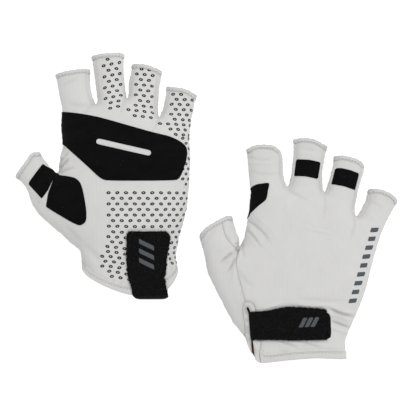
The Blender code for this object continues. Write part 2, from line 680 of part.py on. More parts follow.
def build():
    for item in list(bpy.data.objects):
        bpy.data.objects.remove(item, do_unlink=True)
    collection = bpy.data.collections.new(COLLECTION)
    bpy.context.scene.collection.children.link(collection)
    left = Surface(LEFT, [LEFT_TAB + LEFT_TAB[:1], LEFT_HOOK + LEFT_HOOK[:1]])
    right = Surface(RIGHT, [RIGHT_STRAP + RIGHT_STRAP[:1], RIGHT_STRAP_FOLD, RIGHT_HOOK + RIGHT_HOOK[:1]])
    for surface in (left, right):
        build_hand(surface)
        for digit in surface.splits:
            build_digit(surface, digit)
        build_patches(surface)
    build_left_strap(left)
    build_right_strap(right)


build()
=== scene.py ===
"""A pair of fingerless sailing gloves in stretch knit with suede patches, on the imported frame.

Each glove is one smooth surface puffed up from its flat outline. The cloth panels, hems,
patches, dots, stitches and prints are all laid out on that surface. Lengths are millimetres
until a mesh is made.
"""
import json
import math

import bpy
import numpy as np
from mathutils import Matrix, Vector
from mathutils.bvhtree import BVHTree
from mathutils.geometry import delaunay_2d_cdt

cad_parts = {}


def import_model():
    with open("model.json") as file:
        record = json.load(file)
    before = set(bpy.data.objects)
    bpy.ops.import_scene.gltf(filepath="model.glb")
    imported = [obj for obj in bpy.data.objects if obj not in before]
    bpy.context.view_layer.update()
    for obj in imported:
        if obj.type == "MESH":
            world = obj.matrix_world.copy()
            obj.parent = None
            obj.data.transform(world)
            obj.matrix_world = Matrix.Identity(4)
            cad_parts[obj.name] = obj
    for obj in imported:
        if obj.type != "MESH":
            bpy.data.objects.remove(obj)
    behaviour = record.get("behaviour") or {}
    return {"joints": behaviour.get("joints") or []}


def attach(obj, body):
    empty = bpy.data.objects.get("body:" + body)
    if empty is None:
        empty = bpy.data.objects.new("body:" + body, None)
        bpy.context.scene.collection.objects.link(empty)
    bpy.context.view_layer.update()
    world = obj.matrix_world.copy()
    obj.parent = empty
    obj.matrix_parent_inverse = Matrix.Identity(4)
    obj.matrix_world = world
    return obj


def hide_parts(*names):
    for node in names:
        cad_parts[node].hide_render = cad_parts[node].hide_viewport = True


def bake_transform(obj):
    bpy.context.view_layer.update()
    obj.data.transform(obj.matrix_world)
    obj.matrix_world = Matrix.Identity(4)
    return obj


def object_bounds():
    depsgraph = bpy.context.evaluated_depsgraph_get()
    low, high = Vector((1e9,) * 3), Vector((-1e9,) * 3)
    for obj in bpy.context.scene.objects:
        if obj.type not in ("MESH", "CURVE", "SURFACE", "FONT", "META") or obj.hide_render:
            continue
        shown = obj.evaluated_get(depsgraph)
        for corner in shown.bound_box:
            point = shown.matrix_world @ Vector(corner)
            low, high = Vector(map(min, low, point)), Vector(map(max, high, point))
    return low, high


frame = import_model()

CAD_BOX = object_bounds()
MM = 0.001

SPACING = 2.1            # between the surface's inner points
EDGE_STEP = 1.9          # along an outline or a seam
SNAP = 0.05              # corners closer than this become one
CROWDING = 0.55          # share of a step that new corners keep from those already there
LINE_GAPS = (0.25, 0.4)  # what corners that round edges, and corners of folds, keep from lines
CENTRE = (0.17, -0.5, 0.0)  # middle of the pair in the drawing's own coordinates

CLOTH = 0.9              # knitted panel thickness
LAYER = 0.8              # suede, loop and hook thickness
CLEAR = 0.3              # between stacked layers
STRAP = 1.2              # strap webbing thickness
TIP_HEM = 3.1            # width of the hems on the fingers and thumb
FOURCHETTE = 2.6         # how far a finger's side strip reaches onto its back and palm
SIDE_ROOT = 8.0          # how far below its base a finger's side is still followed
DIGIT_REACH = 30.0       # and how far from the middle of its tip
SPREAD = 1.006           # sets the outline out, as it lies lower than the level it was drawn at
REST = CLEAR + LAYER     # height of the lowest cloth, which has a layer under it
SOFT_FLOOR = 1.0         # how gently the underside flattens onto the ground
LIFT_SPAN = (-14.0, -38.0)  # where along Y the wrist rises over the strap beneath it
OUTSIDE = 200.0          # well clear of a glove
BELOW_WRIST = -140.0     # along Y, past both wrists
BAND_FLARE = 6.0         # how much wider the wrist hem's band gets down there
FAR = 99.0               # further than anything on a digit
INSIDE_BY = 0.02         # how far inside a line the middle of a triangle has to be
GROOVE = 0.5             # half width of a sewn seam's groove
SEAM_DENTS = ((0.3, GROOVE), (0.25, 1.4))  # depth and half width of a seam's groove and hollow
WAVES = (0.30, 0.14)     # heights of the cloth's broad and of its fine unevenness
UNDERSIDE_WAVES = 0.3    # share of it left underneath, where the glove lies flat
PUCKER = 0.32            # height of the puckers along closed edges
FOLD_STEP = 1.1          # between corners along a fold
FOLD_ROWS = (0.0, -0.7, 0.7, -1.5, 1.5)  # a fold's rows of corners, beside its line, in widths
FOLD_OVERRUN = 0.15      # how far a fold goes on past its ends, as a share of its length
FOLD_FADES = (0.4, 0.6)  # how gently it rises at its start and falls off at its end
ROUNDING = (0.3, 0.9)    # rows of corners close to a closed edge, which round it off
BEND_LENGTH = 13.0       # how long a stretch of a finger the bend is spread over

CLOSER = (-17.0, 0.89)   # below which place along Y the rows of dots draw together, and how much
SAG = (-43.0, 32.0, -8.0, 30.0)  # where the rows of dots dip: middle, reach, first row and span
DOT_SIZE = (1.62, 1.15, 0.34)  # half length, half width and height of one dot
DOT_SCAN = 0.4           # step at which a row of dots feels its way over the skin
DOT_CLIMB = 3.0          # longest step over the skin that counts in full
DOT_LEAN = 0.22          # how far one dot may lean from its row
STITCH = 2.4             # one stitch and the space after it
STITCH_SIZE = (1.5, 0.42, 0.36)  # length, width and height of one stitch
STITCH_INSET = 0.9       # from a hem's or the facing's edge to its stitches
STITCH_LIFT = 0.05       # how far stitches lie above the cloth
HEM_ROLL = 0.42          # how far a turned hem stands proud
HEM_RIPPLE = 0.25        # by what share that varies
HEM_LIP = (0.55, 0.45, 1.2)  # share of it left at the mouth, what it gains inward, and how soon
EDGE_PAINTED_SHADE = (1.1, 1.0)   # how far the painted shade along a cut edge reaches, and how gently it ends
SEAM_STITCH = (-0.1, 1.2)  # lift and length of the stitches down in the back's seams
FACING_STITCH = 1.3      # length of those round the slit
RAGGED = (0.22, 2.4)     # how far the fingers' cut edges wander, and how quickly
SEAM_BLUR = 0.7 * GROOVE  # half width of the painted shade along a seam
# painted shade along a hem's inner line, beside its cut edge and in a line above the wrist's hem; all is
# the hem band's own slight darker tint
HEM_PAINTED_SHADES_AND_TINT = {"line": 0.65, "edge": 0.45, "all": 0.12, "above": 0.3}
ABOVE_HEM = (2.2, 0.5)   # how far over the wrist's hem the painted shade line above it runs, and its half width
FOLD_PAINTED_SHADE = (0.45, 1.3)  # painted shade of a dip in the cloth for its depth, and the most it gets
STRIP_PAINTED_SHADE = 0.45       # how dark the painted shade in the seams of the fingers' side strips is beside the others
FACING_PROUD = 0.5       # how far the facing stands proud round the slit
BOW = 0.07               # how far a fold curves, as a share of its length
MOUTHS = ["thumb", "index", "middle", "ring", "little", "hand"]
STRIPS = {               # on which sides, outer or inner, a finger has a strip between back and palm
    "index": ["inner"], "middle": ["outer", "inner"], "ring": ["outer", "inner"], "little": ["outer"],
}
LINING_REACH = 3.0       # how far the dark brown backing, which also stands in for the shadow down in the slit, reaches beside the slit
LINING_GAPS = (0.35, 0.1)  # how far below the palm's cloth it lies
PATCH_HEIGHT = 0.62      # of a suede or loop patch above the cloth
PATCH_ROUNDING = 0.18    # how much lower a patch is at its edge
SQUARENESS = 0.5         # of the left strap's turn round the wrist mouth, where 1 is an ellipse
LIP_DRIFT = 0.8          # how far the left strap's turn leans toward the little finger
LIP_CORNERS = (2.0, 1.0)  # how far the two edges of the turn are held back
SLIT_DIVE = (3.0, 1.6, 0.5)  # how far the right strap's first rows sink into the slit
MOUTH_TURN = 17          # rows of the left strap round the wrist mouth
UNDER_ROWS = 12          # and under the wrist
STRAP_EDGES = (0.35, 0.85)  # a strap's thickness at its edge and one point further in, as shares
FRAY = 0.25              # how far a strap's edges wander
FUZZ_SEED = 7
SIDE_BAR = (5.8, 3.5, -0.35)  # length, width and slant
SHORTER_BAR = 0.5        # how much shorter every third of the side bars is
PRINT_LIFT = 0.07        # how far a print lies above what carries it
PRINT_STEP = 1.3         # between a print's corners

FLOOR_REACH = 3.0        # the floor, lamps and camera are in metres
FLOOR_GAP = 0.0005
FLOOR_COLOUR = (0.3, 0.3, 0.3)
FLOOR_GLOW = 0.85        # so that the floor stays near white in the soft shadows
SKY_STRENGTH = 0.56
LAMPS = [                # name, place, size and power
    ("key", (0.5, 1.3, 2.4), 1.4, 36.0),
    ("fill", (0.5, -1.5, 2.2), 1.6, 13.0),
]
LENS = 100.0
SENSOR = 36.0
VIEW_WIDTH = 0.31125     # how much of the level below the camera takes in, in metres
VIEW_LEVEL = 0.015
VIEW_CENTRE = (0.0008, 0.00035)


# An edge is a stretch where palm and back are joined, and a mouth is an open end. Each stretch
# starts where the one before it ends. "fullness" and "flatness" say how far and how evenly the
# glove is puffed up, and "seam_height" how high its edges lie, far from its heart and at it.
# A fold has its two ends, half width and height. Dots have the slope of their rows, how far these
# sag, the spaces along and across, which row is shifted first, and their zone.
LEFT = {
    "side": "left",
    "palm_up": True,
    "fullness": 0.52,
    "flatness": 0.034,
    "seam_height": (6.4, 13.6),
    "wrist_lift": 2.4,
    "heart": (-62, 12),
    "heart_reach": 62,
    "outline": [
        ("edge", [(-93.8, -36.6), (-94.8, -32.2), (-102.2, -26), (-109.6, -19.2), (-122.8, -7.8),
                  (-130, 1.6), (-135.4, 15), (-143, 23.2)]),
        ("mouth", [(-134.8, 34), (-130.4, 40.3), (-125.6, 41.3)]),
        ("edge", [(-117, 30.2), (-111, 25.3), (-109.4, 36.5), (-107.2, 48), (-108, 60), (-108.2, 74.4),
                  (-110.6, 86), (-113.2, 99.6)]),
        ("mouth", [(-106.5, 101.2), (-99.5, 102.4), (-92.6, 103.4), (-87.6, 103.5)]),
        ("edge", [(-86.6, 88.4), (-84.2, 79.6), (-82.5, 77.2), (-81.6, 79.6), (-83.2, 93),
                  (-85.8, 112.9)]),
        ("mouth", [(-82.2, 114), (-75.9, 114.9), (-69, 115.3), (-64.8, 115.7), (-61.8, 114.5)]),
        ("edge", [(-62, 99.7), (-60.4, 84.5), (-59.3, 81.2), (-58.4, 84.5), (-57.8, 94),
                  (-55.3, 107.3)]),
        ("mouth", [(-50.9, 107.1), (-45.2, 106.5), (-39.1, 104.6), (-33.4, 102.2)]),
        ("edge", [(-35.7, 84.6), (-36, 71.2), (-35.2, 67.6), (-33.4, 71.2), (-31, 79.5),
                  (-29.6, 90.5)]),
        ("mouth", [(-24.6, 89.7), (-18.4, 88.9), (-12.8, 87.1), (-7.4, 83.8)]),
        ("edge", [(-12.2, 58), (-12, 32), (-14.6, 0), (-20.3, -23), (-22.8, -38.2), (-21.8, -43.6)]),
        ("mouth", [(-21.4, -49.2), (-23.6, -54.6), (-29.2, -60.8), (-40, -63.6), (-55.4, -64.6),
                   (-72.2, -59.2), (-84.6, -53), (-90.8, -48), (-92.8, -43.2)]),
    ],
    "hem": [(-20.4, -44), (-22.4, -45.8), (-24.2, -48.6), (-29.4, -52.8), (-42, -57.8), (-56.8, -59.4),
            (-72.3, -54.8), (-81.7, -50.6), (-87.9, -46.6), (-91.6, -42), (-93.8, -38.4)],
    "splits": {
        "thumb": [(-110.6, 26.4), (-114.8, 17.7), (-125.6, -6.6)],
        "index": [(-108.6, 75.8), (-84.2, 80.4)],
        "middle": [(-82.2, 83.2), (-60.7, 85.8)],
        "ring": [(-58.2, 86.4), (-35.6, 83.2)],
        "little": [(-34.6, 70.6), (-10.8, 67.6)],
    },
    "tips": {
        "thumb": (-131, 24), "index": (-100, 92), "middle": (-72, 104), "ring": (-46, 96),
        "little": (-21, 82),
    },
    "seamless": [("middle", "inner", "palm")],
    "back_seams": [
        [(-111, 25.3), (-104, 6), (-92, -8), (-86, -16)],
    ],
    "folds": {
        "palm": [
            ((-110.5, 27.5), (-101.5, 36.5), 0.8, -1.6),
            ((-111, 29.5), (-102.5, 39.5), 0.9, 1.2),
            ((-110.5, 33.5), (-102.5, 41.5), 0.7, -1.4),
            ((-110, 38.5), (-106, 36), 0.8, 0.8),
            ((-111, 26.5), (-101, 32), 0.9, 1),
            ((-110, 25.4), (-98, 29.6), 1, -1),
            ((-107.5, 41), (-104, 47), 1, -0.6),
            ((-121, 30.5), (-128.5, 19.5), 1.4, -0.6),
            ((-124, 2), (-130, 10), 1.6, -0.5),
            ((-104, -14), (-92, -26), 1.8, -0.6),
            ((-92, -34), (-80, -47), 1.6, 0.7),
            ((-94, -40), (-82, -51), 1.4, -0.7),
            ((-90, -28), (-78, -40), 1.8, -0.5),
            ((-84, 80), (-93, 66), 1.5, -0.5),
            ((-60, 82), (-63, 66), 1.5, -0.5),
            ((-35.5, 68), (-40, 57), 1.4, -0.5),
            ((-84, 77), (-104, 78.5), 1.8, -0.5),
            ((-96, 97), (-109, 91), 1.6, -0.4),
            ((-26, -36), (-24.6, -54), 1.4, -0.6),
        ],
        "back": [
            ((-104, 28), (-90, 44), 1.6, -0.8),
            ((-100, 20), (-84, 30), 1.8, 0.6),
            ((-80, -20), (-40, -24), 1.8, 0.6),
            ((-78, -50), (-40, -54), 1.6, -0.6),
        ],
    },
    "dots": [
        (13, 0, (5.95, 4.1), 1, [(-75.6, 79), (-73.2, 74.4), (-68, 72), (-62.8, 73.4), (-61.9, 80),
                                 (-64.2, 112.6), (-77.2, 110.8)]),
        (-6, 0, (5.95, 4), 1, [(-53, 75.8), (-61.2, 75.4), (-61.2, 71.4), (-53.4, 69.4), (-53, 66.6),
                               (-44, 65.5), (-37.4, 63.8), (-38, 72), (-39.2, 84), (-39.2, 103.3),
                               (-51.9, 104.5), (-52.8, 90)]),
        (-2, 0, (5.9, 3.8), 0, [(-36, 63.5), (-27, 56), (-11.5, 50), (-10, 70), (-8.6, 84), (-25, 85.3),
                                (-26.2, 75), (-26.9, 64)]),
        (0, 0, (5.9, 3.8), 0, [(-17.5, 52), (-11, 52), (-13, 14), (-17.5, 17)]),
        (0, 4.5, (6.4, 4.1), 0, [(-72, 11.1), (-14, 11.1), (-14, -8), (-18, -23), (-20.5, -42),
                                 (-30, -45), (-50, -54), (-66, -54), (-75.6, -47), (-78.2, -41),
                                 (-76.6, -33.4), (-73.3, -29.8), (-71.8, -14.6)]),
    ],
    "slit": [(-86, -16), (-84.8, -70), (-87.8, -70)],
    "facing": [(-86, -10), (-79.6, -14), (-79.6, -70), (-93, -70), (-92, -14)],
    "patches": {
        "palm_grip_overlay": {
            "palm": [(-114, 72.2), (-108, 71.8), (-94.9, 70), (-77.2, 66.2), (-57, 60.5), (-38, 55.2),
                     (-27.9, 52.9), (-20.3, 49.7), (-15.8, 45.9), (-14.6, 41.5), (-15.2, 35.2),
                     (-19, 23.8), (-22.2, 20.4), (-50.6, 19.6), (-74, 20), (-79.1, 22.5), (-92.4, 34.6),
                     (-107, 47), (-114, 51)],
            "back": [(-114, 72.2), (-108, 71.6), (-101, 69.6), (-94.6, 68.4), (-95.4, 62), (-101, 54.5),
                     (-107, 47), (-114, 51)],
            "slot": ((-79.3, 48.7), (-42.8, 40.3), 2.1),
            "round": True,
        },
        "thenar_patch": {
            "palm": [(-112, 25.4), (-109.5, 24), (-101.3, 22.8), (-96.2, 21.2), (-92.7, 17.5),
                     (-90.5, 9.9), (-88.5, -3), (-89, -10.2), (-93, -13.2), (-97.2, -12), (-107.6, -6.6),
                     (-118.9, 0.3), (-119.2, 0.9), (-117.6, 10.4), (-115.4, 16.4)],
            "round": True,
        },
        "thumb_grip_patch": {
            "digit": "thumb",
            "palm": [(-122.8, 32.4), (-133.5, 17.7), (-122.8, 6.5), (-114.6, 16.8), (-109.4, 24.6)],
        },
        "middle_back_patch": {
            "digit": "middle",
            "back": [(-80.8, 88.4), (-71.5, 89.5), (-63.2, 88.8), (-64.2, 100.8), (-72.8, 102),
                     (-82.4, 100.8)],
        },
        "ring_back_patch": {
            "digit": "ring",
            "back": [(-55.6, 89.2), (-46.5, 88.2), (-38, 86.4), (-36.8, 97), (-46, 99), (-54, 99.8)],
        },
        "loop_patch": {
            "back": [(-52, -28), (-30, -28), (-31, -46), (-52, -50)],
        },
    },
}

RIGHT = {
    "side": "right",
    "palm_up": False,
    "fullness": 0.55,
    "flatness": 0.062,
    "seam_height": (6.4, 9.2),
    "wrist_lift": 0,
    "heart": (74, -42),
    "heart_reach": 66,
    "outline": [
        ("edge", [(26.3, -94), (19.9, -86), (9, -65.3), (0.9, -48), (-0.5, -40), (-2.4, -32),
                  (-4.4, -25.6), (-4.8, -20.8)]),
        ("mouth", [(-1.4, -16.2), (4.6, -12.2), (10.7, -8.8), (15.4, -6.6), (18.8, -6.8)]),
        ("edge", [(20, -10), (22.6, -18), (24.7, -23.4), (24.9, -26.2), (25.4, -29.2), (28.6, -22.2),
                  (30.9, -10), (32.3, -4.6), (33.4, 3.4), (33.9, 12.2), (32.9, 15.4), (32.4, 19.6),
                  (31.7, 27), (30.6, 43.6)]),
        ("mouth", [(36.1, 46.2), (43, 46.8), (50.6, 46), (53.2, 44.2)]),
        ("edge", [(56.2, 41.4), (57.4, 36.6), (57.6, 25), (59.2, 18.4), (60.8, 15.6), (62.6, 18.4),
                  (64.9, 32.6), (66, 51)]),
        ("mouth", [(71, 51.7), (77.8, 51.4), (82, 50.2), (87, 47.6), (90.7, 45.4)]),
        ("edge", [(87.4, 28), (87.3, 14.6), (88.6, 11.2), (90.4, 14.6), (94.4, 28), (96.2, 38)]),
        ("mouth", [(101.2, 38.7), (108.9, 37.2), (114.4, 35.1), (117.6, 32.6)]),
        ("edge", [(118.8, 29.2), (113.8, 11.5), (111.4, -2.6), (112.6, -6.8), (115, -4.2), (119.6, 4.8),
                  (121.9, 13.5)]),
        ("mouth", [(126, 13.8), (131, 13.1), (136.6, 10.9), (140.4, 8.4), (143.6, 4.6)]),
        ("edge", [(132.8, -15.8), (126.5, -35.4), (117.9, -66.5), (108.4, -89.7), (104.6, -100),
                  (105, -113.7)]),
        ("mouth", [(83, -112.1), (62.8, -113.3), (44.5, -115.4), (39.4, -115.2), (36.6, -113),
                   (33.6, -108), (31, -103), (29.8, -98)]),
    ],
    "hem": [(105.6, -108.6), (97.3, -107.4), (80.1, -107), (62.9, -108), (48.5, -110), (42.4, -109.6),
            (38.6, -105.6), (35.8, -100.6), (33.6, -95.4), (28.6, -95.2)],
    "splits": {
        "thumb": [(26.2, -28.4), (20.6, -34.4), (9.8, -39.6), (-1.6, -42.2)],
        "index": [(31.8, 19.8), (58.3, 20.4)],
        "middle": [(63.4, 20.6), (87.2, 19)],
        "ring": [(91.4, 16), (113.9, 10.4)],
        "little": [(115.4, -3.6), (136.2, -10)],
    },
    "tips": {
        "thumb": (7, -20), "index": (45, 35), "middle": (76, 42), "ring": (106, 28), "little": (131, 2),
    },
    "seamless": [],
    "back_seams": [
        [(11.9, -10.6), (13.4, -18), (15.9, -23.8), (20.5, -29), (24.6, -31.4)],
        [(24.6, -31.4), (22.4, -40), (23.4, -48), (26.3, -59.6), (29, -70)],
    ],
    "folds": {
        "back": [
            ((25.3, -28.8), (20.6, -32.6), 0.7, -2.6),
            ((25, -30.4), (22.6, -36.2), 0.7, -2.4),
            ((24.6, -27.4), (21.6, -26.8), 0.7, -1.8),
            ((20.2, -33), (10, -41.5), 0.9, -1.7),
            ((22, -37), (15.4, -49), 0.9, -1.5),
            ((24.6, -27), (8, -33), 1.2, 0.8),
            ((25.6, -33), (19.6, -56), 1, 0.7),
            ((24.8, -32.6), (14, -43), 0.9, 0.8),
            ((27, -26), (29, -38), 1.2, -0.8),
            ((30.6, -9.6), (48, -27), 1, -1.3),
            ((31.6, -14), (45, -31), 1.3, 0.6),
            ((32.6, -4.6), (52, -21), 1.4, 0.6),
            ((30, -17), (40, -30), 1, -0.6),
            ((91, -72.6), (114, -79.6), 1.1, 1.2),
            ((92, -76), (113, -83), 0.9, -1.5),
            ((93, -80.6), (109, -86), 1.1, 1.2),
            ((94, -85), (110.4, -91.4), 0.9, -1.6),
            ((94.4, -90.4), (108, -95.4), 1, 1),
            ((54, -99.6), (70, -106), 0.9, -0.9),
            ((60, -99.4), (77, -105), 1, 0.7),
            ((71, -100), (88, -105), 0.9, -0.8),
            ((43, -76.4), (57, -71.6), 1.2, 0.8),
            ((66, -71.4), (90, -72.8), 1.2, 0.7),
            ((70, -67.6), (104, -70), 1.4, -0.5),
            ((32, 27), (55, 25.6), 1.2, -0.5),
            ((32, 33), (54, 31), 1.2, 0.5),
            ((31.6, 37.6), (50, 36.6), 1.1, -0.5),
            ((60, 14), (76, 5), 1.4, -0.6),
            ((60.6, 10), (62, -8), 1.6, 0.4),
            ((88.5, 9), (87, -8), 1.4, -0.5),
            ((111.5, -8), (107, -24), 1.4, -0.5),
            ((68, 44.6), (86, 42), 1.2, -0.4),
            ((120, 6), (134, -1), 1.2, -0.4),
            ((8, -16), (-1, -28), 1.4, -0.4),
            ((24, -47), (36, -60), 1.6, -0.5),
            ((20, -76), (12, -62), 1.8, 0.5),
        ],
    },
    "dots": [
        (0, 0, (5.9, 3.9), 0, [(67.4, 22), (84, 20.6), (87, 45), (68.6, 48)]),
        (0, 0, (5.9, 3.9), 0, [(94, 17), (110, 13), (113.5, 31), (99, 35.5)]),
        (0, 0, (5.9, 3.9), 0, [(117, -3), (134, -10), (139, 2.6), (124.6, 10)]),
        (0, 0, (6.4, 4.1), 0, [(48, -44), (118, -44), (112, -68), (104, -96), (100, -105), (44, -105),
                               (44, -70)]),
    ],
    "slit": [(30, -75.6), (30.4, -74.4), (31.2, -74.2), (32, -75.2), (33.4, -79), (34.3, -90),
             (35, -100.3), (35.8, -107.6), (37, -118), (35, -118), (34, -107.6), (33.2, -100.3),
             (32.5, -90), (31.6, -79.6)],
    "facing": [(31.2, -69.8), (34.4, -70.8), (36.4, -73.6), (37.4, -77.4), (38.8, -86), (41, -99),
               (41, -104.4), (39.6, -109.4), (39.4, -118), (24, -119), (27.6, -103), (29.2, -97.2),
               (29.4, -92.9), (28.8, -87.2), (28, -81.4), (27.4, -76.9), (27.8, -72.4), (29.2, -70.4)],
    "patches": {
        "palm_grip_overlay": {
            "palm": [(28, 11), (33.4, 13.6), (42, 13.6), (60, 9), (88, 3), (106, -6), (120, -22),
                     (124.6, -33), (119, -41), (97, -42), (72, -42), (62, -38), (46, -22), (32, -9),
                     (28, -6)],
            "back": [(28, 9), (33.4, 14.2), (35.4, 15.9), (37.8, 17.1), (42.4, 17.9), (47, 18),
                     (46.4, 13), (44.9, 6), (40.7, 2.4), (36.1, -1.6), (33.2, -4.8), (30.4, -9.6),
                     (27, -7)],
            "slot": ((66.5, -13.4), (101.5, -21.2), 2.1),
            "round": True,
        },
        "thenar_patch": {
            "palm": [(26, -36), (36, -32), (44, -40), (47, -54), (45, -66), (39, -68), (26, -61),
                     (13.6, -52), (16, -43)],
        },
        "thumb_grip_patch": {
            "digit": "thumb",
            "palm": [(19, -18), (5, -20), (2.4, -33), (9.8, -37.2), (20, -32.2)],
        },
        "middle_back_patch": {
            "digit": "middle",
            "back": [(66.2, 23.6), (74.7, 23.1), (83.8, 21.2), (85.9, 33.9), (77, 35.7), (67.6, 36.1)],
        },
        "ring_back_patch": {
            "digit": "ring",
            "back": [(94, 17.6), (103.5, 15.7), (112, 12.9), (114.9, 25.3), (108.1, 28), (101.2, 29.5),
                     (97.2, 29.4)],
        },
        "loop_patch": {
            "back": [(66, -77.6), (90.6, -78.6), (92.6, -81), (93.3, -94), (92.6, -97.8), (66, -97.8)],
        },
    },
}

# The left strap's edges run from its free end and the right one's from the slit. "grid" counts its
# rows and the points across it, "end" is the free end's row, "level" the height of its middle over
# the cloth, "round" the shares by which the end's rows are drawn in, "hook_span" the hook pad's
# heights over the cloth, "fuzz" its name, its side at the end, seed, density and length, and "bar"
# one bar's heading, length, width and slant.
STRAPS = {
    "left": {
        "edges": (
            [(-58.3, -17.8), (-58.6, -28), (-58.6, -39.5), (-57.8, -49.6), (-56, -57), (-55, -60.4)],
            [(-29, -17.9), (-27.3, -20.2), (-26.7, -23.4), (-27.2, -27), (-28.1, -31), (-29.4, -39.5),
             (-30, -49.9), (-31.6, -52.4), (-30.2, -53.6), (-29.9, -57.2), (-29.4, -60.4)],
        ),
        "grid": (44, 13),
        "end": 0,
        "level": 2.0,
        "round": (0.1, 0.035, 0.01),
        "hook": [(-56.4, -44), (-56, -21.4), (-30.6, -21.4), (-31.8, -44)],
        "hook_span": (0.3, 1.1),
        "fuzz": ("left_strap_tab_fuzz", -1, FUZZ_SEED, 2.2, 1.5),
        "bars": [(-44, -27.6), (-44, -34.6), (-44, -41.6)],
        "bar": ((0, 1), 11.0, 3.4, 0.5),
    },
    "right": {
        "edges": (
            [(33.2, -98.9), (50, -98.6), (66, -98.9), (80, -98.7), (90.6, -98.5)],
            [(32.2, -78.3), (45.6, -77), (53.5, -75.2), (60.4, -74.1), (72, -74.5), (83.4, -75.3),
             (89.4, -76)],
        ),
        "grid": (58, 15),
        "end": -1,
        "level": 1.95,
        "round": (0.055, 0.015),
        "hook": [(68, -77.2), (88.6, -78.8), (91.4, -95.8), (68, -96.8)],
        "hook_span": (1.0, 1.3),
        "fuzz": ("right_strap_fuzz", 1, FUZZ_SEED + 1, 3.2, 1.8),
        "bars": [(72, -85.6), (76.4, -85.4), (80.8, -85.2)],
        "bar": ((1, 0), 7.2, 3.2, 0.5),
    },
}
LEFT_FOLD = {"lip_y": -68.4, "under_y": -64.6, "root_y": -42.0, "bend_top": 22.0}

SIDE_BARS = ((126.2, -17.0), (109.8, -70.0))
SIDE_BAR_COUNT = 9


# ---------------------------------------------------------------- flat shapes

def length_of(points):
    """Distance travelled up to each point."""
    steps = np.linalg.norm(np.diff(points, axis=0), axis=1)
    return np.concatenate([[0.0], np.cumsum(steps)])


def resample(points, step):
    """The same line with evenly spaced points, about one step apart."""
    points = np.asarray(points, float)
    travelled = length_of(points)
    count = max(1, round(travelled[-1] / step))
    wanted = np.linspace(0.0, travelled[-1], count + 1)
    return np.column_stack([np.interp(wanted, travelled, column) for column in points.T])


def smooth_line(points, step, closed=False):
    """A smooth curve that keeps the given points, with others between them about a step apart."""
    points = np.asarray(points, float)
    if closed:
        padded = np.vstack([points[-1:], points, points[:2]])
    else:
        padded = np.vstack([2 * points[0] - points[1], points, 2 * points[-1] - points[-2]])
    curve = []
    for p0, p1, p2, p3 in zip(padded, padded[1:], padded[2:], padded[3:]):
        parts = max(1, round(np.linalg.norm(p2 - p1) / step))
        longest = np.linalg.norm(p2 - p1)
        start = 0.5 * (p2 - p0)
        end = 0.5 * (p3 - p1)
        start = start * min(1.0, longest / max(np.linalg.norm(start), 1e-9))
        end = end * min(1.0, longest / max(np.linalg.norm(end), 1e-9))
        for t in np.arange(parts) / parts:
            curve.append((1 - t) ** 2 * ((1 + 2 * t) * p1 + t * start)
                         + t * t * ((3 - 2 * t) * p2 - (1 - t) * end))
    return np.array(curve + [padded[-2]])


def lengthen(line, distance):
    """The line with both ends carried straight on."""
    line = np.array(line, float)
    for end, inner in ((0, 1), (-1, -2)):
        way = line[end] - line[inner]
        line[end] += way / np.linalg.norm(way) * distance
    return line


def stadium(start, end, radius):
    """A slot's outline with round ends."""
    start = np.array(start, float)
    end = np.array(end, float)
    heading = math.atan2(*(end - start)[::-1])
    outline = []
    for centre, first in ((end, heading - math.pi / 2), (start, heading + math.pi / 2)):
        for angle in np.linspace(first, first + math.pi, 7):
            outline.append(centre + radius * np.array([math.cos(angle), math.sin(angle)]))
    return np.array(outline)


def inside(polygon, points):
    """Which points lie in the polygon."""
    points = np.atleast_2d(points)
    result = np.zeros(len(points), bool)
    for a, b in zip(polygon, np.roll(polygon, -1, axis=0)):
        crosses = (a[1] > points[:, 1]) != (b[1] > points[:, 1])
        rise = b[1] - a[1] if b[1] != a[1] else 1e-9
        result ^= crosses & (points[:, 0] < a[0] + (points[:, 1] - a[1]) * (b[0] - a[0]) / rise)
    return result


def distance_to(line, points):
    """Distance from each point to a line of many segments."""
    points = np.atleast_2d(points)
    best = np.full(len(points), 1e9)
    for a, b in zip(line, line[1:]):
        span = b - a
        t = np.clip(((points - a) @ span) / max(span @ span, 1e-12), 0.0, 1.0)
        best = np.minimum(best, np.linalg.norm(points - (a + t[:, None] * span), axis=1))
    return best


def inset(line, distance, ends=1.5):
    """A line parallel to one side of the outline, on its right, which is the inner side."""
    line = np.asarray(line)
    run = np.gradient(line, axis=0)
    run /= np.linalg.norm(run, axis=1)[:, None]
    moved = line + distance * np.column_stack([run[:, 1], -run[:, 0]])
    return lengthen(moved, ends) if ends else moved


def bowed(start, end):
    """A fold's line from start to end and a little beyond, gently curved one way or the other."""
    start = np.array(start, float)
    span = np.array(end, float) - start
    count = 3 + int(np.linalg.norm(span) / FOLD_STEP)
    shares = np.linspace(-FOLD_OVERRUN, 1 + FOLD_OVERRUN, count)[:, None]
    way = BOW * math.sin(1.3 * start[0] + 0.7 * start[1]) * np.array([-span[1], span[0]])
    return start + shares * span + np.sin(math.pi * shares) * way


def spread(points):
    """Points of the outline moved a little away from the middle of the pair."""
    middle = np.array(CENTRE[:2])
    return middle + SPREAD * (np.asarray(points, float) - middle)


def ease(t):
    """0 up to 0, 1 from 1 on, and a smooth step between."""
    t = np.clip(t, 0.0, 1.0)
    return t * t * (3 - 2 * t)


# ---------------------------------------------------------------- the glove's surface

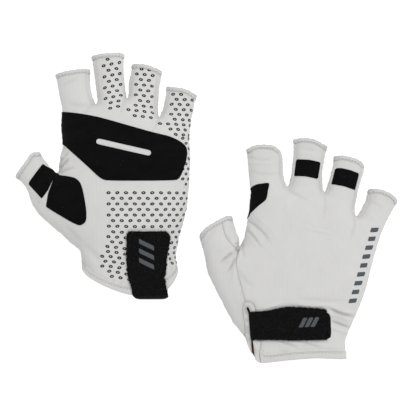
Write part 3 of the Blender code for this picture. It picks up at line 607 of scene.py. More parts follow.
class Surface:
    """One glove's whole skin: corners, triangles and what each triangle belongs to."""

    def __init__(self, spec):
        self.spec = spec
        self.folds = [(face, *fold) for face, folds in spec["folds"].items() for fold in folds]
        corner = spec["outline"][-1][1][-1]
        self.lines = []
        for kind, points in spec["outline"]:
            self.lines.append((kind, spread(smooth_line([corner] + points, EDGE_STEP))))
            corner = points[-1]
        for kind, line in self.lines[:-1]:
            if kind == "mouth":
                self.roughen(line)
        self.border = np.vstack([line[:-1] for _, line in self.lines])
        self.mouths = [line for kind, line in self.lines if kind == "mouth"]
        self.sides = self.finger_sides()
        self.splits = {digit: resample(lengthen(spread(line), 0.8), EDGE_STEP)
                       for digit, line in spec["splits"].items()}
        self.outlines = {name: self.patch_outlines(patch) for name, patch in spec["patches"].items()}
        self.slit = np.array(spec["slit"], float)
        self.facing = smooth_line(spec["facing"], EDGE_STEP, closed=True)
        self.hem = lengthen(spread(smooth_line(spec["hem"], EDGE_STEP)), 1.0)
        seams = [resample(spec["slit"] + spec["slit"][:1], EDGE_STEP)]
        for outlines in self.outlines.values():
            seams += [np.vstack([line, line[:1]]) for line in outlines.values()]
        for beside in (-GROOVE, 0.0, GROOVE):
            seams += [inset(side, FOURCHETTE + beside) for side in self.sides.values()]
            seams += [inset(mouth, TIP_HEM + beside) for mouth in self.mouths[:-1]]
            seams += [inset(self.hem, beside, ends=0), inset(self.facing, beside, ends=0)]
            for points in spec["back_seams"]:
                seams.append(inset(smooth_line(points, EDGE_STEP), beside, ends=0))
        seams += [inset(mouth, 1.0) for mouth in self.mouths]
        seams += list(self.splits.values())
        hook = STRAPS[spec["side"]]["hook"]
        seams.append(resample(hook + hook[:1], EDGE_STEP))
        self.flat, self.cells = self.triangulate(seams)
        self.cells = self.cells[~self.closed_corners()[self.cells].all(axis=1)]
        self.digit = self.find_digits()
        self.raise_surface()
        self.wrinkle()
        self.find_normals()

    def roughen(self, line):
        """Make a cut edge a little ragged, apart from its ends."""
        chord = line[-1] - line[0]
        outward = np.array([-chord[1], chord[0]]) / np.linalg.norm(chord)
        reach, quickness = RAGGED
        turns = quickness * np.arange(len(line) - 2) + line[0, 0]
        line[1:-1] += reach * np.sin(turns)[:, None] * outward

    def patch_outlines(self, patch):
        outlines = {}
        for face in ("palm", "back"):
            if face in patch and patch.get("round"):
                outlines[face] = smooth_line(patch[face], EDGE_STEP, closed=True)
            elif face in patch:
                outlines[face] = resample(patch[face] + patch[face][:1], EDGE_STEP)[:-1]
        if "slot" in patch:
            outlines["slot"] = stadium(*patch["slot"])
        return outlines

    def finger_sides(self):
        """The part of each finger's side beyond its split that has a fourchette."""
        sides = {}
        edges = [line for kind, line in self.lines if kind == "edge"]
        for digit, wanted in STRIPS.items():
            place = MOUTHS.index(digit)
            split = np.asarray(self.spec["splits"][digit])
            tip = np.asarray(self.spec["tips"][digit])
            for which in wanted:
                line = edges[place] if which == "outer" else edges[place + 1]
                along = split[-1] - split[0]
                across = np.array([-along[1], along[0]])
                across *= np.sign((tip - split[0]) @ across)
                beyond = (line - split[0]) @ across > -SIDE_ROOT * np.linalg.norm(across)
                run = np.flatnonzero(beyond & (np.linalg.norm(line - tip, axis=1) < DIGIT_REACH))
                half = line[run[0]:run[-1] + 1]
                lowest = np.argmin((half - split[0]) @ across)
                half = half[lowest:] if which == "outer" else half[:lowest + 1]
                sides[digit, which] = half
        return sides

    def triangulate(self, seams):
        """Join the outline, the seams and a field of inner points into triangles."""
        rounding = [inset(line, distance, ends=0) for kind, line in self.lines if kind == "edge"
                    for distance in ROUNDING]
        lines = [line for _, line in self.lines] + seams
        points = []
        edges = []
        for line in lines:
            start = len(points)
            points += [tuple(p) for p in line]
            edges += [(start + k, start + k + 1) for k in range(len(line) - 1)]
        for line in rounding:
            line = line[inside(self.border, line)]
            for _, other in self.lines:
                line = line[distance_to(other, line) > LINE_GAPS[0]]
            points += [tuple(p) for p in line]
        creases = self.fold_corners()
        creases = creases[inside(self.border, creases)]
        for line in lines:
            creases = creases[distance_to(line, creases) > LINE_GAPS[1]]
        points += [tuple(p) for p in creases]
        low = self.border.min(axis=0)
        high = self.border.max(axis=0)
        rows = np.arange(low[1], high[1], SPACING * math.sqrt(0.75))
        field = np.array([(x + SPACING * 0.5 * (k % 2), y) for k, y in enumerate(rows)
                          for x in np.arange(low[0], high[0], SPACING)])
        field = field[inside(self.border, field)]
        for line in lines:
            field = field[distance_to(line, field) > CROWDING * SPACING]
        gaps = np.linalg.norm(field[:, None] - creases[None], axis=2).min(axis=1)
        points += [tuple(p) for p in field[gaps > 0.5 * SPACING]]
        corners, _, cells, *_ = delaunay_2d_cdt([Vector(p) for p in points], edges, [], 0, SNAP)
        flat = np.array([tuple(p) for p in corners])
        cells = np.array([c for c in cells if len(c) == 3])
        a, b, c = (flat[cells[:, k]] for k in range(3))
        turn = (b - a)[:, 0] * (c - a)[:, 1] - (b - a)[:, 1] * (c - a)[:, 0]
        cells[turn < 0] = cells[turn < 0][:, ::-1]
        cells = cells[inside(self.border, (a + b + c) / 3) & (np.abs(turn) > 1e-6)]
        used = np.unique(cells)
        renumber = np.full(len(flat), -1)
        renumber[used] = np.arange(len(used))
        return flat[used], renumber[cells]

    def fold_corners(self):
        """Close rows of corners along each fold, thinned out where folds meet."""
        kept = np.empty((0, 2))
        for _, start, end, width, _ in self.folds:
            line = bowed(start, end)
            for beside in FOLD_ROWS:
                row = inset(line, beside * width, ends=0)
                if len(kept):
                    gaps = np.linalg.norm(row[:, None] - kept[None], axis=2).min(axis=1)
                    row = row[gaps > CROWDING * FOLD_STEP]
                kept = np.vstack([kept, row])
        return kept

    def cell_edges(self):
        """Every side of every triangle, sorted, with the triangle it belongs to."""
        sides = np.sort(np.vstack([self.cells[:, pair] for pair in ((0, 1), (1, 2), (2, 0))]), axis=1)
        owner = np.tile(np.arange(len(self.cells)), 3)
        unique, which, times = np.unique(sides, axis=0, return_inverse=True, return_counts=True)
        return unique, which.ravel(), times, owner

    def closed_corners(self):
        """Corners on the outline, apart from those strictly inside a mouth."""
        unique, _, times, _ = self.cell_edges()
        border = unique[times == 1]
        middles = self.flat[border].mean(axis=1)
        far = np.ones(len(border), bool)
        for line in self.mouths:
            far &= distance_to(line, middles) > SNAP
        closed = np.zeros(len(self.flat), bool)
        closed[border[far].ravel()] = True
        return closed

    def find_digits(self):
        """Flood out from each fingertip as far as the digit's split line."""
        unique, which, times, owner = self.cell_edges()
        middles = self.flat[unique].mean(axis=1)
        passable = times == 2
        for line in self.splits.values():
            passable &= distance_to(line, middles) > SNAP
        order = np.argsort(which, kind="stable")
        links = [[] for _ in self.cells]
        for first, second in zip(order, order[1:]):
            if which[first] == which[second] and passable[which[first]]:
                links[owner[first]].append(owner[second])
                links[owner[second]].append(owner[first])
        centres = self.flat[self.cells].mean(axis=1)
        digit = np.full(len(self.cells), "hand", dtype=object)
        for name, tip in self.spec["tips"].items():
            pending = [int(np.argmin(np.linalg.norm(centres - np.array(tip), axis=1)))]
            while pending:
                cell = pending.pop()
                if digit[cell] == "hand":
                    digit[cell] = name
                    pending += links[cell]
        return digit

    def half_thickness(self, closed):
        """Puff the flat shape up as a membrane does: nil at its edges, free at its mouths."""
        a, b, c = (self.flat[self.cells[:, k]] for k in range(3))
        area = 0.5 * ((b - a)[:, 0] * (c - a)[:, 1] - (b - a)[:, 1] * (c - a)[:, 0])
        area = np.maximum(area, 1e-5)
        count = len(self.flat)
        share = np.zeros(count)
        for k in range(3):
            np.add.at(share, self.cells[:, k], area / 3)
        sides = [c - b, a - c, b - a]
        pairs = [(i, j) for i in range(3) for j in range(3)]
        rows = np.concatenate([self.cells[:, i] for i, _ in pairs])
        columns = np.concatenate([self.cells[:, j] for _, j in pairs])
        values = np.concatenate([(sides[i] * sides[j]).sum(axis=1) / (4 * area) for i, j in pairs])
        hold = share * self.spec["flatness"] ** 2
        diagonal = np.bincount(rows[rows == columns], values[rows == columns], count) + hold

        def stiffness(field):
            pulled = np.bincount(rows, values * field[columns], count) + hold * field
            return np.where(closed, 0.0, pulled)

        pressure = np.zeros(count)
        left_over = np.where(closed, 0.0, 2 * share)
        scaled = left_over / diagonal
        way = scaled.copy()
        progress = left_over @ scaled
        first = progress
        while progress > 1e-12 * first:
            bent = stiffness(way)
            step = progress / (way @ bent)
            pressure += step * way
            left_over -= step * bent
            scaled = left_over / diagonal
            previous = progress
            progress = left_over @ scaled
            way = scaled + progress / previous * way
        return self.spec["fullness"] * np.sqrt(np.maximum(pressure, 0.0))

    def raise_surface(self):
        """Put the puffed-up halves above and below the seam's height, the lower one on the floor."""
        closed = self.closed_corners()
        half = self.half_thickness(closed)
        spec = self.spec
        low, high = spec["seam_height"]
        away = np.linalg.norm(self.flat - np.array(spec["heart"]), axis=1) / spec["heart_reach"]
        seam = REST + low + (high - low) * np.exp(-away ** 2)
        top = seam + half
        under = seam - half
        wrist = ease((self.flat[:, 1] - LIFT_SPAN[0]) / (LIFT_SPAN[1] - LIFT_SPAN[0]))
        floor = REST + spec["wrist_lift"] * wrist
        bottom = 0.5 * (under + floor + np.sqrt((under - floor) ** 2 + SOFT_FLOOR ** 2))
        bottom = np.minimum(bottom, seam)
        bottom[closed] = seam[closed]
        top[closed] = seam[closed]
        count = len(self.flat)
        below = np.where(closed, np.arange(count), np.arange(count) + count)
        self.closed = np.concatenate([closed, closed])
        self.points = np.vstack([np.column_stack([self.flat, level]) for level in (top, bottom)])
        self.faces = np.vstack([self.cells, below[self.cells][:, ::-1]])
        self.is_top = np.arange(len(self.faces)) < len(self.cells)
        self.point_is_top = np.arange(2 * count) < count
        self.centres = np.vstack([self.flat[self.cells].mean(axis=1)] * 2)
        self.digits = np.concatenate([self.digit, self.digit])
        self.find_normals()

    def find_normals(self):
        """Normals shared by neighbouring triangles, and a tree to cast rays at."""
        corners = self.points[self.faces]
        normals = np.cross(corners[:, 1] - corners[:, 0], corners[:, 2] - corners[:, 0])
        self.normals = np.zeros_like(self.points)
        for k in range(3):
            np.add.at(self.normals, self.faces[:, k], normals)
        self.normals /= np.maximum(np.linalg.norm(self.normals, axis=1), 1e-9)[:, None]
        self.tree = BVHTree.FromPolygons([Vector(p) for p in self.points], self.faces.tolist())

    def wrinkle(self):
        """Soft unevenness all over, puckered edges, sunk seams and the drag lines of the cloth."""
        x, y = self.points[:, 0], self.points[:, 1]
        side = np.where(self.point_is_top, 1.0, -1.0)
        broad = np.sin(y / 8.3 + 1.3 * np.sin(x / 11.7) + side)
        fine = np.sin(y / 4.1 - x / 5.3 + side)
        wave = WAVES[0] * np.sin(x / 7.1 + 0.9 * np.sin(y / 9.3)) * broad
        wave += WAVES[1] * np.sin(x / 2.9 + y / 3.7 + 2.0 * np.sin(y / 6.1)) * fine
        wave *= np.where(self.point_is_top, 1.0, UNDERSIDE_WAVES)
        pucker = PUCKER * np.sin(x * 1.15 + y * 0.83) * np.sin(x * 0.41 - y * 0.57)
        wave = np.where(self.closed, pucker, wave)
        for line, face, _ in self.seam_lines():
            away = distance_to(line, self.points[:, :2])
            dent = sum(depth * np.exp(-(away / width) ** 2) for depth, width in SEAM_DENTS)
            wave -= dent * self.faces_side(face)
        for fold in self.folds:
            wave += self.fold(*fold)
        self.points += wave[:, None] * self.normals

    def faces_side(self, face):
        """1 for corners on that side of the glove and 0 for the rest."""
        return (self.point_is_top == ((face == "palm") == self.spec["palm_up"])) & ~self.closed

    def fold(self, face, start, end, width, depth):
        """A ridge, or a dip where the depth is negative, that fades out at both ends."""
        start = np.array(start, float)
        span = np.array(end, float) - start
        along = (self.points[:, :2] - start) @ span / (span @ span)
        rise, fall = FOLD_FADES
        taper = ease((along + FOLD_OVERRUN) / rise) * ease((1 + FOLD_OVERRUN - along) / fall)
        away = distance_to(bowed(start, end), self.points[:, :2])
        return depth * taper * np.exp(-(away / width) ** 2) * self.faces_side(face)

    def seam_lines(self):
        """Every sewn seam: its line, the side of the glove it is on and how dark its painted shade is.
        """
        lines = []
        for face in ("palm", "back"):
            for place, side in self.sides.items():
                if (*place, face) not in self.spec["seamless"]:
                    lines.append((inset(side, FOURCHETTE, ends=0), face, STRIP_PAINTED_SHADE))
        for points in self.spec["back_seams"]:
            lines.append((smooth_line(points, EDGE_STEP), "back", 1.0))
        return lines

    def hit(self, x, y, above=True):
        """The skin met from above, or from below, at a place: point, normal and triangle."""
        side = 1 if above else -1
        start = Vector((x, y, side * OUTSIDE))
        point, normal, face, _ = self.tree.ray_cast(start, Vector((0, 0, -side)))
        if point is None:
            return None
        return np.array(point), np.array(normal), face

    def height(self, x, y, above=True):
        found = self.hit(x, y, above)
        return found[0][2] if found else None

    def faces_up(self, face):
        return (face == "palm") == self.spec["palm_up"]

    def on(self, face):
        """Faces on the palm side or on the back side."""
        return self.is_top == self.faces_up(face)

    def in_polygon(self, polygon):
        return inside(np.asarray(polygon, float), self.centres)

    def hem_band(self):
        """A polygon round everything between the wrist hem's inner line and the mouth."""
        left = self.hem[-1][0] - BAND_FLARE
        right = self.hem[0][0] + BAND_FLARE
        return np.vstack([self.hem, [(left, BELOW_WRIST), (right, BELOW_WRIST)]])


# ---------------------------------------------------------------- materials

class Nodes:
    """A material's node tree, built a node at a time."""

    def __init__(self, name):
        self.material = bpy.data.materials.new(name)
        self.material.use_nodes = True
        self.tree = self.material.node_tree
        self.shader = self.tree.nodes["Principled BSDF"]
        place = self.add("ShaderNodeAttribute", attribute_name="cloth")
        self.place = place.outputs["Vector"]

    def add(self, kind, **settings):
        node = self.tree.nodes.new(kind)
        for key, value in settings.items():
            setattr(node, key, value)
        return node

    def link(self, source, node, socket):
        self.tree.links.new(source, node.inputs[socket])

    def stretched(self, scale):
        node = self.add("ShaderNodeVectorMath", operation="MULTIPLY")
        self.link(self.place, node, 0)
        node.inputs[1].default_value = scale
        return node.outputs[0]

    def textured(self, kind, scale, sockets, **settings):
        """A texture over the cloth, whose features are 1 / scale millimetres across."""
        node = self.add(kind, **settings)
        self.link(self.stretched(scale), node, "Vector")
        for socket, value in {"Scale": 1.0, **sockets}.items():
            node.inputs[socket].default_value = value
        return node

    def noise(self, scale, detail=3.0, roughness=0.6):
        sockets = {"Detail": detail, "Roughness": roughness}
        return self.textured("ShaderNodeTexNoise", scale, sockets).outputs["Fac"]

    def cells(self, scale):
        return self.textured("ShaderNodeTexVoronoi", scale, {}, feature="F1").outputs["Distance"]

    def waves(self, scale, distortion):
        sockets = {"Distortion": distortion, "Detail": 2.0, "Detail Scale": 2.0}
        return self.textured("ShaderNodeTexWave", scale, sockets, wave_type="BANDS",
                             bands_direction="X").outputs["Fac"]

    def feed(self, node, inputs):
        """Set sockets to numbers or colours, or link them to what other nodes put out."""
        for socket, value in inputs:
            if isinstance(value, (int, float)):
                node.inputs[socket].default_value = value
            elif isinstance(value, tuple):
                node.inputs[socket].default_value = (*value, 1.0)
            else:
                self.link(value, node, socket)

    def math(self, operation, a, b):
        node = self.add("ShaderNodeMath", operation=operation)
        self.feed(node, ((0, a), (1, b)))
        return node.outputs[0]

    def ramp(self, value, stops):
        node = self.add("ShaderNodeValToRGB")
        self.link(value, node, "Fac")
        elements = node.color_ramp.elements
        while len(elements) < len(stops):
            elements.new(0.5)
        for element, (position, colour) in zip(elements, stops):
            element.position = position
            element.color = (*colour, 1.0)
        return node.outputs["Color"]

    def greys(self, value, *stops):
        """A ramp through greys."""
        return self.ramp(value, [(position, (grey, grey, grey)) for position, grey in stops])

    def attribute(self, name):
        return self.add("ShaderNodeAttribute", attribute_name=name).outputs["Fac"]

    def mix(self, factor, a, b, blend="MIX"):
        node = self.add("ShaderNodeMix", data_type="RGBA", blend_type=blend)
        self.feed(node, ((0, factor), (6, a), (7, b)))
        return node.outputs[2]

    def bump(self, heights):
        """Bumps of given depths in millimetres, one on top of the other."""
        normal = None
        for height, depth in heights:
            node = self.add("ShaderNodeBump")
            node.inputs["Strength"].default_value = 1.0
            node.inputs["Distance"].default_value = depth * MM
            self.link(height, node, "Height")
            if normal is not None:
                self.link(normal, node, "Normal")
            normal = node.outputs["Normal"]
        self.link(normal, self.shader, "Normal")

    def finish(self, colour, roughness, specular, sheen=0.0, sheen_tint=(1, 1, 1)):
        self.link(colour, self.shader, "Base Color")
        self.link(roughness, self.shader, "Roughness")
        self.shader.inputs["Sheen Weight"].default_value = sheen
        self.shader.inputs["Sheen Roughness"].default_value = 0.5
        self.shader.inputs["Sheen Tint"].default_value = (*sheen_tint, 1.0)
        self.shader.inputs["Specular IOR Level"].default_value = specular
        return self.material


def knit_material():
    """Light grey four-way stretch knit: fine wales, faint heather, painted shade down in the seams,
    folds and along the hems, and the hems' own slight tint.
    """
    nodes = Nodes("grey_knit")
    wales = nodes.waves((1.05, 0.09, 0.3), 1.2)
    courses = nodes.waves((0.1, 0.9, 0.3), 2.0)
    fuzz = nodes.noise((3.2, 2.2, 2.6), 4.0, 0.7)
    cloud = nodes.noise((0.06, 0.045, 0.06), 3.0)
    base = nodes.ramp(cloud, [(0.3, (0.66, 0.657, 0.648)), (0.7, (0.68, 0.677, 0.67))])
    yarn = nodes.greys(fuzz, (0.32, 0.93), (0.62, 1.0))
    colour = nodes.mix(1.0, base, yarn, "MULTIPLY")
    # painted shade: the seam attribute darkens the knit toward warm grey in seams, folds and along hems;
    # a small part of it is the hem bands' own tint
    sunk = nodes.attribute("seam")
    colour = nodes.mix(nodes.math("MULTIPLY", sunk, 0.72), colour, (0.33, 0.315, 0.295))
    rough = nodes.greys(fuzz, (0.3, 0.78), (0.7, 0.93))
    nodes.bump([(cloud, 0.3), (fuzz, 0.09), (wales, 0.05), (courses, 0.03)])
    return nodes.finish(colour, rough, 0.15, 0.1, (1.0, 0.99, 0.98))


def suede_material():
    """Black synthetic suede: short brushed nap with a few pale specks of lint."""
    nodes = Nodes("black_suede")
    nap = nodes.noise((2.6, 1.6, 2.0), 5.0, 0.75)
    brushed = nodes.noise((0.09, 0.16, 0.1), 4.0)
    lint = nodes.cells((0.17, 0.15, 0.16))
    base = nodes.ramp(brushed, [(0.3, (0.0024, 0.0024, 0.0026)), (0.72, (0.0042, 0.0042, 0.0044))])
    grain = nodes.greys(nap, (0.34, 0.55), (0.7, 1.7))
    colour = nodes.mix(1.0, base, grain, "MULTIPLY")
    speck = nodes.math("LESS_THAN", lint, 0.045)
    colour = nodes.mix(nodes.math("MULTIPLY", speck, 0.35), colour, (0.08, 0.08, 0.08))
    rough = nodes.greys(nap, (0.3, 0.84), (0.7, 0.98))
    nodes.bump([(brushed, 0.25), (nap, 0.16)])
    return nodes.finish(colour, rough, 0.06, 0.02, (0.6, 0.6, 0.62))


def pile_material(name, depth, tint):
    """Brushed loop pile or woven hook tape: curled tufts in loose rows."""
    nodes = Nodes(name)
    tufts = nodes.cells((1.7, 1.3, 1.5))
    hair = nodes.noise((4.5, 3.0, 4.0), 5.0, 0.8)
    rows = nodes.waves((0.5, 0.05, 0.2), 3.0)
    mixed = nodes.math("ADD", nodes.math("MULTIPLY", tufts, 0.6), nodes.math("MULTIPLY", hair, 0.5))
    dark = tuple(0.3 * part for part in tint)
    light = tuple(4.8 * part for part in tint)
    colour = nodes.ramp(mixed, [(0.25, dark), (0.55, tint), (0.85, light)])
    lint = nodes.cells((0.11, 0.1, 0.1))
    speck = nodes.math("LESS_THAN", lint, 0.03)
    colour = nodes.mix(nodes.math("MULTIPLY", speck, 0.7), colour, (0.11, 0.11, 0.11))
    rough = nodes.greys(hair, (0.3, 0.86), (0.7, 1.0))
    nodes.bump([(rows, 0.05), (tufts, depth), (hair, 0.12)])
    return nodes.finish(colour, rough, 0.06, 0.03, (0.55, 0.55, 0.58))


def lining_and_shadow_material():
    """Brown brushed backing of the knit, seen only down in the slit, made dark as painted shadow there.
    """
    nodes = Nodes("brown_lining_painted_shadow")
    nap = nodes.noise((2.0, 1.4, 1.8), 4.0, 0.7)
    colour = nodes.ramp(nap, [(0.3, (0.035, 0.02, 0.013)), (0.7, (0.08, 0.048, 0.032))])
    rough = nodes.greys(nap, (0.3, 0.85), (0.7, 0.98))
    nodes.bump([(nap, 0.1)])
    return nodes.finish(colour, rough, 0.05)


def silicone_material():
    """Black silicone grip print, slightly uneven and a little glossy."""
    nodes = Nodes("black_silicone")
    patchy = nodes.noise((0.5, 0.5, 0.5), 3.0)
    fine = nodes.noise((3.0, 3.0, 3.0), 2.0)
    colour = nodes.ramp(patchy, [(0.3, (0.002, 0.0021, 0.0024)), (0.7, (0.007, 0.0073, 0.008))])
    rough = nodes.greys(fine, (0.3, 0.5), (0.7, 0.7))
    nodes.bump([(fine, 0.04)])
    return nodes.finish(colour, rough, 0.08)


def ink_material(name, ink, worn):
    """Screen print that shows a little of the cloth's grain through it."""
    nodes = Nodes(name)
    grain = nodes.noise((2.4, 1.8, 2.0), 4.0, 0.7)
    cracks = nodes.noise((0.8, 0.6, 0.7), 3.0)
    colour = nodes.ramp(grain, [(0.25, ink), (0.8, worn)])
    rough = nodes.greys(cracks, (0.3, 0.5), (0.7, 0.68))
    nodes.bump([(grain, 0.06)])
    return nodes.finish(colour, rough, 0.15)


def thread_material():
    """Twisted sewing thread, a shade darker than the knit."""
    nodes = Nodes("sewing_thread")
    twist = nodes.waves((1.4, 1.4, 1.4), 0.3)
    fuzz = nodes.noise((4.0, 4.0, 4.0), 3.0)
    colour = nodes.ramp(twist, [(0.2, (0.3, 0.295, 0.28)), (0.8, (0.43, 0.425, 0.41))])
    rough = nodes.greys(fuzz, (0.3, 0.6), (0.7, 0.8))
    nodes.bump([(twist, 0.08), (fuzz, 0.03)])
    return nodes.finish(colour, rough, 0.15)


STRAP_INK = ((0.058, 0.063, 0.070), (0.098, 0.105, 0.115))
KINDS = {                # each kind of surface: its material and the record's slot for it
    "knit": (knit_material(), "grey_knit"),
    "suede": (suede_material(), "black_suede"),
    "webbing": (pile_material("black_webbing", 0.22, (0.0032, 0.0032, 0.0034)), "black_webbing"),
    "loop": (pile_material("black_loop", 0.35, (0.0045, 0.0045, 0.005)), "black_loop"),
    # a dark brown backing that also stands in for the shadow down in the slit
    "lining_painted_shadow": (lining_and_shadow_material(), "black_suede"),
    "silicone": (silicone_material(), "black_suede"),
    "ink": (ink_material("slate_ink", (0.062, 0.072, 0.085), (0.1, 0.112, 0.128)), "grey_knit"),
    "strap_ink": (ink_material("grey_strap_ink", *STRAP_INK), "black_webbing"),
    "thread": (thread_material(), "grey_knit"),
}


# ---------------------------------------------------------------- pieces on the surface

def add_object(name, points, faces, kind, normals=None, seam=None):
    """A piece at its place in the frame, with its flat position kept for its weave."""
    material, slot = KINDS[kind]
    mesh = bpy.data.meshes.new(name)
    corners = [tuple(p) for p in (np.asarray(points) - CENTRE) * MM]
    mesh.from_pydata(corners, [], [list(map(int, face)) for face in faces])
    cloth = mesh.attributes.new("cloth", "FLOAT_VECTOR", "POINT")
    cloth.data.foreach_set("vector", np.asarray(points, np.float32).ravel())
    # the seam attribute carries painted shade, and the hem bands' own slight tint, into the knit's
    # colour
    if seam is not None:
        sunk = mesh.attributes.new("seam", "FLOAT", "POINT")
        sunk.data.foreach_set("value", np.asarray(seam, np.float32))
    mesh.materials.append(material)
    mesh.update()
    mesh.shade_smooth()
    if normals is None:
        mesh.set_sharp_from_angle(angle=math.radians(60))
    else:
        loops = np.zeros(len(mesh.loops), int)
        mesh.loops.foreach_get("vertex_index", loops)
        mesh.normals_split_custom_set([tuple(n) for n in normals(mesh, loops)])
    piece = bpy.data.objects.new(name, mesh)
    bpy.context.scene.collection.objects.link(piece)
    return piece


def region_rim(faces):
    """The region's border, edge by edge, each with the corner inside it."""
    edges = {}
    for a, b, c in faces:
        edges[a, b] = c
        edges[b, c] = a
        edges[c, a] = b
    return [(a, b, c) for (a, b), c in edges.items() if (b, a) not in edges]


def region(name, surface, chosen, inner, outer, kind, rounded=0.0, seam=None):
    """A piece of cloth or suede cut from the surface, with two skins and a rim between them."""
    faces = surface.faces[chosen]
    rim = region_rim(faces)
    used = np.unique(faces)
    place = {corner: k for k, corner in enumerate(used)}
    base = surface.points[used]
    normals = surface.normals[used]
    outer = np.broadcast_to(outer, len(surface.points))[used].copy()
    if rounded:
        border = np.unique([place[a] for a, _, _ in rim])
        outer[border] -= rounded
    count = len(used)
    points = np.vstack([base + outer[:, None] * normals, base + inner * normals])
    solid = [[place[c] for c in face] for face in faces]
    solid += [[count + place[c] for c in face[::-1]] for face in faces]
    skins = 2 * len(faces)
    solid += [[place[b], place[a], count + place[a], count + place[b]] for a, b, _ in rim]
    both = np.vstack([normals, -normals])

    def shared_normals(mesh, loops):
        """The surface's own normals on both skins, so that neighbours meet without a line."""
        result = both[loops]
        for polygon in mesh.polygons[skins:]:
            start = polygon.loop_start
            result[start:start + polygon.loop_total] = polygon.normal
        return result

    # painted shade per corner on the outer skin, none on the inner skin
    painted_shade_marks = None if seam is None else np.concatenate([seam[used], np.zeros(count)])
    own = rounded > 0 or np.ptp(outer) > 0.05
    return add_object(name, points, solid, kind, None if own else shared_normals, painted_shade_marks)


class Batch:
    """Many copies of small shapes, laid on the surface and kept as one piece."""

    def __init__(self):
        self.points = []
        self.faces = []
        self.count = 0

    def put(self, shape, faces, origin, axes, size):
        self.points.append(origin + (shape * size) @ np.array(axes))
        self.faces += [[self.count + k for k in face] for face in faces]
        self.count += len(shape)

    def make(self, name, kind):
        return add_object(name, np.vstack(self.points), self.faces, kind)


def ring_shape(around=12, tube=5):
    """An oval bead round an open middle, one unit in radius."""
    points = []
    faces = []
    for k in range(around):
        turn = 2 * math.pi * k / around
        for j in range(tube):
            roll = 2 * math.pi * j / tube
            radius = 0.62 + 0.38 * math.cos(roll)
            points.append((radius * math.cos(turn), radius * math.sin(turn), 0.5 * math.sin(roll)))
            here = k * tube
            after = (k + 1) % around * tube
            beside = (j + 1) % tube
            faces.append([here + j, after + j, after + beside, here + beside])
    return np.array(points), faces


def stitch_shape(around=6):
    """A short, plump length of thread along +X, one unit long."""
    points = [(-0.5, 0, -0.3)]
    for x, radius in ((-0.38, 0.32), (0.0, 0.5), (0.38, 0.32)):
        for k in range(around):
            turn = 2 * math.pi * k / around
            points.append((x, radius * math.cos(turn), radius * math.sin(turn)))
    points.append((0.5, 0, -0.3))
    faces = []
    for k in range(around):
        after = (k + 1) % around
        faces.append([0, 1 + after, 1 + k])
        for row in (0, 1):
            low = 1 + row * around
            faces.append([low + k, low + after, low + around + after, low + around + k])
        faces.append([1 + 2 * around + k, 1 + 2 * around + after, len(points) - 1])
    return np.array(points), faces


RING = ring_shape()
THREAD = stitch_shape()


def axes_at(normal, heading):
    """A frame on the surface with its first axis as near as can be to the heading."""
    along = heading - normal * (heading @ normal)
    along /= np.linalg.norm(along)
    return along, np.cross(normal, along), normal


